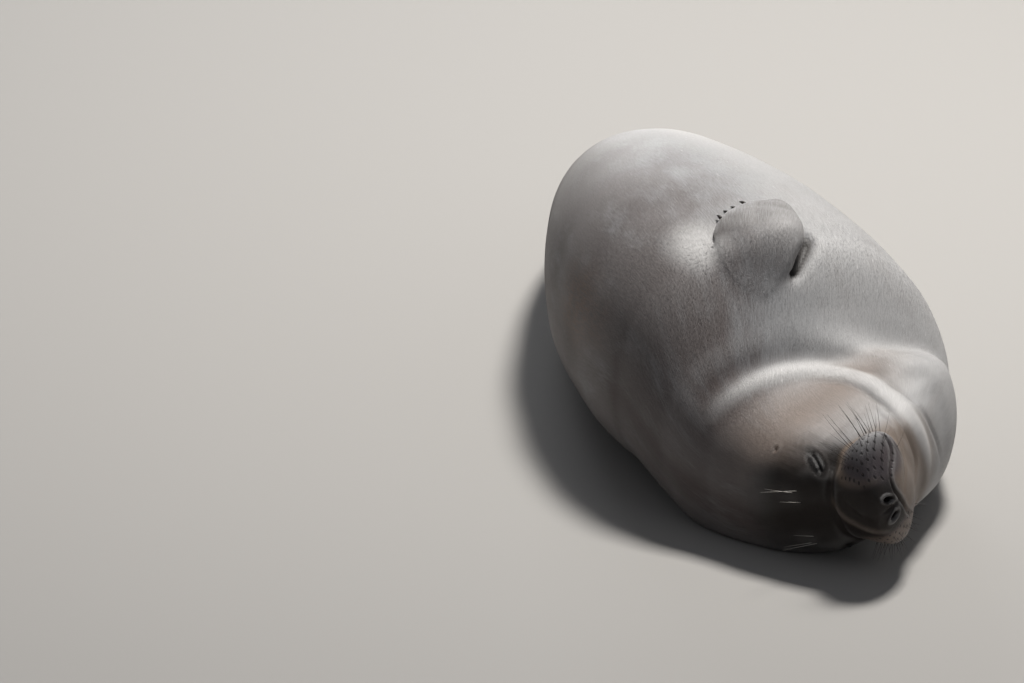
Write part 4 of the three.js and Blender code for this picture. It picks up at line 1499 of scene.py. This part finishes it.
@dataclass
class Coat:
    """The short coat as thin tufts that lie along the skin."""

    parts: tuple[CoatPart, ...] = (
        CoatPart("coat_head", "face_skin", -118, 58, 0, 3.4, 0.34, 230000, 11),
        CoatPart("coat_neck", "coat", 58, 220, 0, 5.2, 0.45, 170000, 12),
        CoatPart("coat_chest", "coat", 220, 520, 0, 6.4, 0.5, 140000, 13),
        CoatPart("coat_belly", "coat", 520, 880, 0, 6.4, 0.5, 125000, 14),
        CoatPart("coat_hips", "coat", 880, 1372, 0, 6.0, 0.5, 120000, 15),
        CoatPart("coat_flippers", "flipper_skin", -400, 1400, 1, 3.2, 0.36, 150000, 16),
    )
    bare_to: float = 4.0  # mm over the floor, under which no tuft grows
    jitter: Triple = (0.09, 0.09, 0.03)  # how far the lie strays
    variation: Pair = (0.72, 1.25)  # the shortest and longest tufts' share
    shade_seed: int = 7
    patch: float = 0.003  # how much of the unwrap a tuft takes
    spare: tuple[str, ...] = ("unwrap", "blade", "lie", "cover", "short")

    def tuft(self) -> Object:
        """One tuft: a thin blade along X, sunk at its root and pointed at its tip."""
        points = [(-0.06, -0.5, -0.05), (-0.06, 0.5, -0.05), (0.45, 0.42, 0.05),
                  (0.45, -0.42, 0.05), (1.0, 0.0, 0.03)]
        mesh = bpy.data.meshes.new("tuft")
        mesh.from_pydata(points, [], [(0, 3, 2, 1), (3, 4, 2)])
        blade = mesh.attributes.new("blade", "FLOAT2", "CORNER")
        corners = [points[loop.vertex_index] for loop in mesh.loops]
        blade.data.foreach_set("vector", [f for x, y, _ in corners for f in (x, y + 0.5)])
        mesh.polygons.foreach_set("use_smooth", [True, True])
        return bpy.data.objects.new("tuft", mesh)

    def tree(self) -> GeometryTree:
        """The tree that strews tufts over a stretch of the skin."""
        g = GeometryTree("coat_tufts")
        start, end = g.take("From", "Float"), g.take("To", "Float")
        kind, density = g.take("Kind", "Float"), g.take("Density", "Float")
        length, width = g.take("Length", "Float"), g.take("Width", "Float")
        seed, tuft = g.take("Seed", "Int"), g.take("Tuft", "Object")
        material = g.take("Material", "Material")
        along = g.part(g.fact("track", "FLOAT_VECTOR"), 0)
        form = g.part(g.fact("limb", "FLOAT_VECTOR"), 2)
        height = g.part(g.node("GeometryNodeInputPosition"), 2)
        inside = g.math("MULTIPLY", g.math("GREATER_THAN", along, start),
                        g.math("LESS_THAN", along, end))
        same = g.math("LESS_THAN", g.math(
            "ABSOLUTE", g.math("SUBTRACT", g.math("MINIMUM", form, 1.0), kind)), 0.5)
        free = g.math("GREATER_THAN", height, self.bare_to * MM)
        cover = g.math("MULTIPLY", g.math("MULTIPLY", inside, same), free)
        cover = g.math("MULTIPLY", cover, g.fact("cover", "FLOAT"))
        roots = g.node("GeometryNodeDistributePointsOnFaces", None, {
            "Mesh": g.source.outputs[0], "Density": g.math("MULTIPLY", density, cover),
            "Seed": seed}, "Points")
        low, high = (tuple(sign * f for f in self.jitter) for sign in (-1, 1))
        jitter = g.node("FunctionNodeRandomValue", {"data_type": "FLOAT_VECTOR"},
                        {"Min": low, "Max": high, "Seed": seed})
        lie = g.vector("ADD", g.fact("lie", "FLOAT_VECTOR"), jitter)
        turn = g.node("FunctionNodeAxesToRotation",
                      {"primary_axis": "Z", "secondary_axis": "X"},
                      {"Primary Axis": roots.node.outputs["Normal"], "Secondary Axis": lie})
        shortest, longest = self.variation
        vary = g.node("FunctionNodeRandomValue", {"data_type": "FLOAT"},
                      {2: shortest, 3: longest, "Seed": seed}, 1)
        short = g.fact("short", "FLOAT")
        reach = g.math("MULTIPLY", g.math("MULTIPLY", g.math("MULTIPLY", length, vary), short), MM)
        wide = g.math("MULTIPLY", g.math("MULTIPLY", width, short), MM)
        size = g.node("ShaderNodeCombineXYZ", None, {0: reach, 1: wide, 2: reach})
        shape = g.node("GeometryNodeObjectInfo", None, {"Object": tuft}, "Geometry")
        blades = g.node("GeometryNodeInstanceOnPoints", None, {
            "Points": roots, "Instance": shape, "Rotation": turn, "Scale": size})
        shade = g.node("FunctionNodeRandomValue", {"data_type": "FLOAT"},
                       {"Seed": self.shade_seed}, 1)
        blades = g.store(blades, "shade", "FLOAT", "INSTANCE", shade)
        real = g.node("GeometryNodeRealizeInstances", None, {"Geometry": blades})
        patch = g.vector("SCALE", g.fact("blade", "FLOAT_VECTOR"), scale=self.patch)
        place = g.vector("ADD", g.fact("unwrap", "FLOAT_VECTOR"), patch)
        g.end(g.store(real, "OFBake", "FLOAT2", "CORNER", place), material)
        return g

    def grow(self, skin: Object, material: Material) -> list:
        """Grows every piece of the coat and gives them with their slots."""
        tree, tuft = self.tree(), self.tuft()
        grown = []
        for part in self.parts:
            piece = tree.grow(skin, part.name, From=part.start, To=part.end, Kind=part.kind,
                              Density=part.density, Length=part.length, Width=part.width,
                              Seed=part.seed, Tuft=tuft, Material=material)
            for spare in self.spare:
                held = piece.data.attributes.get(spare)
                if held is not None:
                    piece.data.attributes.remove(held)
            grown.append((piece, part.slot))
        return grown


@dataclass
class Bristle:
    """One whisker: its root, which way it leaves the skin, how far it reaches and its bend."""

    root: Array
    way: Array
    reach: float
    bend: Array
    stout: float


@dataclass
class Whiskers:
    """The whiskers of the pads and the brows."""

    body: BodyForm
    surface: BVHTree
    seed: int = 5
    rows: tuple[int, int] = (-9, 2)  # of pits, from the crown direction's middle
    columns: tuple[int, int] = (7, 16)
    pad_reach: float = 31.0  # mm, from the pad's middle to its last pits
    bare_middle: float = 28.0  # mm to each side of the nose's middle line
    share: float = 0.55  # of the pits that hold a whisker
    far_side: float = 0.6  # how much shorter the whiskers of the lower pad are
    # where the brow whiskers stand, towards nose and crown, and how long each is
    brow_roots: tuple[Triple, ...] = (
        (-6, 33, 72), (-12, 36, 58), (-2, 37, 44), (-8, 41, 32),
    )
    brow_stout: float = 0.36
    stray: float = 0.06
    sunk: float = 1.5  # mm of each whisker under the skin
    floor_gap: float = 6.0  # mm that a whisker's tip keeps off the floor
    sides: int = 6
    taper: float = 0.8

    def on_skin(self, nose: float, cheek_side: int, crown: float) -> tuple[Array, Array] | None:
        """Where a line from the side meets the face, and the skin's normal there."""
        cheek = self.body.pose.axes[1] * cheek_side
        start = self.body.pose.place(nose, 200 * cheek_side, crown)
        hit, normal, _, _ = self.surface.ray_cast(Vector(start), Vector(-cheek))
        return None if hit is None else (np.array(hit), np.array(normal))

    def bristle(self, root: Array, way: Array, reach: float, bend: Array,
                stout: float) -> Bristle:
        """A whisker that is turned up where it would pass through the floor."""
        way = unit(np.append(way[:2], max(way[2], (self.floor_gap - root[2]) / reach)))
        bend = np.append(bend[:2], max(bend[2], min(0, (root[2] - 30) / 10)))
        return Bristle(root - way * self.sunk, way, reach, bend, stout)

    def pads(self) -> list[Bristle]:
        """The whiskers of both pads, in offset rows, longest at the back."""
        rng = np.random.default_rng(self.seed)
        nose_axis, cheek_axis, _ = self.body.pose.axes
        at_nose, _, at_crown = MARKS.pad
        squash = MARKS.pad_squash[2]
        pits = [((column - (row % 2) * 0.5) * MARKS.pit_columns, row * MARKS.pit_rows)
                for row in range(*self.rows) for column in range(*self.columns)]
        made = []
        for side, length, lean in ((1, 1.0, 0.6), (-1, self.far_side, -0.1)):
            for nose, crown in pits:
                found = self.on_skin(nose, side, crown)
                far = math.hypot(nose - at_nose, squash * crown - at_crown)
                if found is None or far > self.pad_reach:
                    continue
                root, normal = found
                if abs(self.body.pose.coordinates(root[None])[0, 1]) < self.bare_middle:
                    continue
                if rng.random() > self.share:
                    continue
                back = np.clip((112 - nose) / 55, 0, 1)  # 0 at the nose, 1 at the pad's back
                reach = (26 + 24 * back + rng.uniform(-8, 8)) * length
                way = unit(normal * 0.8 + cheek_axis * lean - nose_axis * 0.1
                           + rng.normal(0, self.stray, 3))
                bend = (rng.normal(0, self.stray, 3) - nose_axis * 0.08) * reach
                made.append(self.bristle(root, way, reach, bend, 0.3 + 0.16 * back))
        return made

    def brows(self) -> list[Bristle]:
        """The few pale whiskers over each eye."""
        rng = np.random.default_rng(self.seed + 1)
        _, cheek_axis, crown_axis = self.body.pose.axes
        made = []
        for side in (1, -1):
            for nose, crown, reach in self.brow_roots:
                found = self.on_skin(nose, side, crown)
                if found is None:
                    continue
                root, normal = found
                way = unit(crown_axis + cheek_axis * 0.72 + normal * 0.2 + rng.normal(0, 0.05, 3))
                bend = -cheek_axis * reach * 0.1
                made.append(self.bristle(root, way, reach, bend, self.brow_stout))
        return made

    def tree(self) -> GeometryTree:
        """The tree that grows a tapered, bent bristle from each point."""
        g = GeometryTree("bristles")
        sides, taper = g.take("Sides", "Int"), g.take("Taper", "Float")
        material = g.take("Material", "Material")
        straight = g.node("GeometryNodeCurvePrimitiveLine", None, {"End": (1.0, 0.0, 0.0)})
        shape = g.node("GeometryNodeResampleCurve", None, {"Curve": straight, "Count": 9})
        turn = g.node("FunctionNodeAlignRotationToVector", {"axis": "X"},
                      {"Vector": g.fact("way", "FLOAT_VECTOR")})
        grown = g.node("GeometryNodeInstanceOnPoints", None, {
            "Points": g.node("GeometryNodeMeshToPoints", None, {"Mesh": g.source.outputs[0]}),
            "Instance": shape, "Rotation": turn, "Scale": g.fact("reach", "FLOAT")})
        real = g.node("GeometryNodeRealizeInstances", None, {"Geometry": grown})
        share = g.node("GeometryNodeSplineParameter")
        bent = g.node("GeometryNodeSetPosition", None, {
            "Geometry": real, "Offset": g.vector(
                "SCALE", g.fact("bend", "FLOAT_VECTOR"), scale=g.math("MULTIPLY", share, share))})
        thin = g.math("SUBTRACT", 1.0, g.math("MULTIPLY", share, taper))
        ring = g.node("GeometryNodeCurvePrimitiveCircle", None,
                      {"Resolution": sides, "Radius": 1.0})
        tube = g.node("GeometryNodeCurveToMesh", None, {
            "Curve": bent, "Profile Curve": ring, "Fill Caps": True,
            "Scale": g.math("MULTIPLY", thin, g.fact("stout", "FLOAT"))})
        g.end(g.node("GeometryNodeSetShadeSmooth", None, {"Geometry": tube}), material)
        return g

    def grow(self, name: str, bristles: list[Bristle],
             material: Material) -> Object:
        """Grows one piece of whiskers from its list."""
        facts = {
            "way": [b.way for b in bristles],
            "bend": [b.bend * MM for b in bristles],
            "reach": [b.reach * MM for b in bristles],
            "stout": [b.stout * MM for b in bristles],
        }
        roots = np.array([b.root for b in bristles])
        return self.tree().grow_from_points(name, roots, facts, Sides=self.sides,
                                            Taper=self.taper, Material=material)


@dataclass
class Claws:
    """The claws of the fore flippers: short, curved and blunt."""

    long: float = 13.0
    rings: int = 9
    sides: int = 12

    def shape(self) -> Object:
        """One claw along X, a curved cone a little deeper than wide."""
        points = []
        for ring in range(self.rings):
            share = ring / self.rings
            swell = (1 - share ** 1.6) * (0.85 + 0.3 * min(1, share * 4))
            for side in range(self.sides):
                angle = 2 * math.pi * side / self.sides
                points.append((share - 0.25, 0.2 * swell * math.cos(angle),
                               0.22 * swell * math.sin(angle) + 0.14 * math.sin(share * 2.4)))
        # the grid's two poles come last: the root's end, then the tip
        points += [(-0.27, 0.0, 0.0), (0.74, 0.0, 0.07)]
        faces, _ = closed_grid(self.rings, self.sides, np.zeros(self.sides + 1),
                               np.zeros(self.rings + 2))
        mesh = bpy.data.meshes.new("claw_shape")
        mesh.from_pydata(points, [], faces)
        mesh.polygons.foreach_set("use_smooth", [True] * len(mesh.polygons))
        mesh.update()
        return bpy.data.objects.new("claw_shape", mesh)

    def tree(self) -> GeometryTree:
        """The tree that sets a claw on each point."""
        g = GeometryTree("claw_row")
        long, shape = g.take("Length", "Float"), g.take("Claw", "Object")
        finish = g.take("Material", "Material")
        turn = g.node("FunctionNodeAxesToRotation",
                      {"primary_axis": "Z", "secondary_axis": "X"},
                      {"Primary Axis": (0.0, 0.0, 1.0),
                       "Secondary Axis": g.fact("way", "FLOAT_VECTOR")})
        geometry = g.node("GeometryNodeObjectInfo", None, {"Object": shape}, "Geometry")
        row = g.node("GeometryNodeInstanceOnPoints", None, {
            "Points": g.node("GeometryNodeMeshToPoints", None, {"Mesh": g.source.outputs[0]}),
            "Instance": geometry, "Rotation": turn, "Scale": long})
        g.end(row, finish)
        return g

    def grow(self, name: str, roots: list[tuple[Array, Array]],
             material: Material) -> Object:
        """Sets one claw on each root."""
        places, ways = (np.array(column) for column in zip(*roots))
        return self.tree().grow_from_points(name, places, {"way": ways}, Length=self.long * MM,
                                            Claw=self.shape(), Material=material)


@dataclass(frozen=True)
class Lamp:
    """A soft square light that looks at the model's middle."""

    name: str
    at: Triple
    size: float
    power: float
    colour: Triple
    aim: Triple = (0.05, -0.2, 0.1)

    def build(self) -> None:
        """Puts the light in the scene."""
        lamp = bpy.data.lights.new(self.name, "AREA")
        lamp.size, lamp.energy, lamp.color = self.size, self.power, self.colour
        holder = linked(self.name, lamp)
        holder.location = self.at
        way = Vector(self.aim) - holder.location
        holder.rotation_euler = way.to_track_quat("-Z", "Y").to_euler()


@dataclass
class Studio:
    """The plain floor, the soft lights and the camera."""

    lamps: tuple[Lamp, ...] = (
        Lamp("key", (1.4, 1.1, 4.2), 0.9, 330, (1.0, 0.975, 0.94)),
        Lamp("fill", (1.8, -3.6, 2.4), 3.0, 12, (0.92, 0.95, 1.0)),
        Lamp("sheen", (1.0, 5.2, 1.6), 1.8, 60, (0.96, 0.98, 1.0)),
    )
    floor_size: float = 60.0
    floor_height: float = -0.0004
    floor_colour: Triple = (0.33, 0.318, 0.303)
    floor_roughness: float = 0.8
    room_colour: tuple[float, float, float, float] = (0.9, 0.93, 1.0, 1.0)
    room_light: float = 0.16

    azimuth: float = -20.0
    elevation: float = 22.0
    focal_px: float = 8724.0
    image: tuple[int, int] = (1024, 683)
    eyes_px: Pair = (824.0, 502.0)
    distance: float = 11.70
    sensor: float = 36.0
    clip_end: float = 200.0

    def camera(self) -> None:
        """Places the camera so that the eyes' middle lands on its pixel."""
        a, e = math.radians(self.azimuth), math.radians(self.elevation)
        right = np.array([math.cos(a), math.sin(a), 0])
        back = np.array([math.sin(a) * math.cos(e), -math.cos(a) * math.cos(e), math.sin(e)])
        up = np.cross(back, right)
        eyes = to_frame(HeadPose().eyes)
        wide, high = self.image
        off_x = (self.eyes_px[0] - wide / 2) / self.focal_px * self.distance
        off_y = (self.eyes_px[1] - high / 2) / self.focal_px * self.distance
        place = eyes + self.distance * back - off_x * right + off_y * up
        lens = bpy.data.cameras.new("camera")
        lens.sensor_fit, lens.sensor_width = "HORIZONTAL", self.sensor
        lens.lens = self.focal_px / wide * self.sensor
        lens.clip_end = self.clip_end
        camera = linked("camera", lens)
        turn = Matrix([*zip(right, up, back)])
        camera.matrix_world = Matrix.Translation(place) @ turn.to_4x4()
        bpy.context.scene.camera = camera

    def build(self) -> None:
        """Makes the floor, the lights and the camera, in place of Blender's own."""
        for spare in ("Cube", "Light", "Camera"):
            if spare in bpy.data.objects:
                bpy.data.objects.remove(bpy.data.objects[spare])
        self.camera()
        bpy.ops.mesh.primitive_plane_add(size=self.floor_size, location=(0, 0, self.floor_height))
        floor = bpy.context.object
        floor.name = "floor"
        paint = Shader("floor_paint").finish(self.floor_colour, self.floor_roughness)
        floor.data.materials.append(paint)
        for lamp in self.lamps:
            lamp.build()
        world = bpy.data.worlds.new("soft_room")
        world.use_nodes = True
        background = world.node_tree.nodes["Background"].inputs
        background["Color"].default_value = self.room_colour
        background["Strength"].default_value = self.room_light
        bpy.context.scene.world = world
        bpy.context.scene.view_settings.view_transform = "Standard"


def cover_facts(skin: Object, face: FaceDetail) -> None:
    """Stores how closely and how long the hair grows: none on bare skin, short on the face."""
    points = mesh_points(skin.data)
    folded = face.body.pose.coordinates(points)
    folded[:, 1] = np.abs(folded[:, 1])
    to_nostril = np.linalg.norm(folded - MARKS.nostril, axis=1)
    oval = np.minimum(*(face.lid_oval(*face.lid_places(points, side).T) for side in (1, -1)))
    to_pad = np.linalg.norm(folded * MARKS.pad_squash - MARKS.pad, axis=1)
    cover = smooth(to_nostril, 13, 22) * smooth(oval, 1.0, 1.6)
    cover = cover * lerp(0.45, 1.0, smooth(to_pad, 30, 44))
    short = lerp(0.5, 1.0, smooth(to_nostril, 18, 60)) * lerp(0.6, 1.0, smooth(oval, 1.3, 3))
    for name, values in (("cover", cover), ("short", short), ("lid_oval", oval)):
        store_fact(skin.data, name, values)


def add(piece: Object, slot: str, *replaced: str) -> None:
    """Hands a finished piece to the frame, in place of the nodes it stands for."""
    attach(piece, BODY)
    if replaced:
        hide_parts(*replaced)
    LOG.info("%s is in place", piece.name)


def main() -> None:
    """Builds the studio and the whole animal."""
    logging.basicConfig(level=logging.INFO, format="%(name)s: %(message)s")
    Studio().build()
    body = BodyForm()
    left = ForeFlipper((6, 290), 65.9, 13.0, (0.8, 0.02))
    right = ForeFlipper((186, 284), 41.0, 0.0, (0.8, 0.26), rows=60, columns=52)
    hind = (HindFlipper((186, 1222, 58), 42, 14.5, (0.8, 0.5)),
            HindFlipper((178, 1218, 8), 70, 0, (0.8, 0.74)))
    grid = BodySkin(body, FaceDetail(body), SkinFolds())
    skin = Skin(body, grid, left, right, hind).build()
    cover_facts(skin, grid.face)
    skin_coat = CoatFinish(Grain.SKIN, body.pose).make()
    skin.data.materials.clear()
    skin.data.materials.append(skin_coat)
    surface = BVHTree.FromPolygons(
        mesh_points(skin.data).tolist(), [tuple(f.vertices) for f in skin.data.polygons])
    tuft_coat = CoatFinish(Grain.TUFT, body.pose).make()
    coat = Coat().grow(skin, tuft_coat)
    dark = HornFinish("dark_horn", (0.018, 0.014, 0.012), (0.06, 0.045, 0.036)).make()
    pale = HornFinish("pale_horn", (0.62, 0.58, 0.52), (0.75, 0.72, 0.68)).make()
    whiskers = Whiskers(body, surface)
    add(skin, "coat", *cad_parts)
    for piece, slot in coat:
        add(piece, slot)
    add(whiskers.grow("whiskers", whiskers.pads(), dark), "face_skin")
    add(whiskers.grow("brow_whiskers", whiskers.brows(), pale), "face_skin")
    claws = Claws()
    top = left.claw_roots(lambda x, y: ground_height(surface, x, y) + CLAW_RISE)
    low = right.claw_roots(lambda x, y: RIGHT_CLAW_HEIGHT)
    add(claws.grow("claws", top + low, dark), "flipper_skin")


if __name__ == "__main__":
    main()
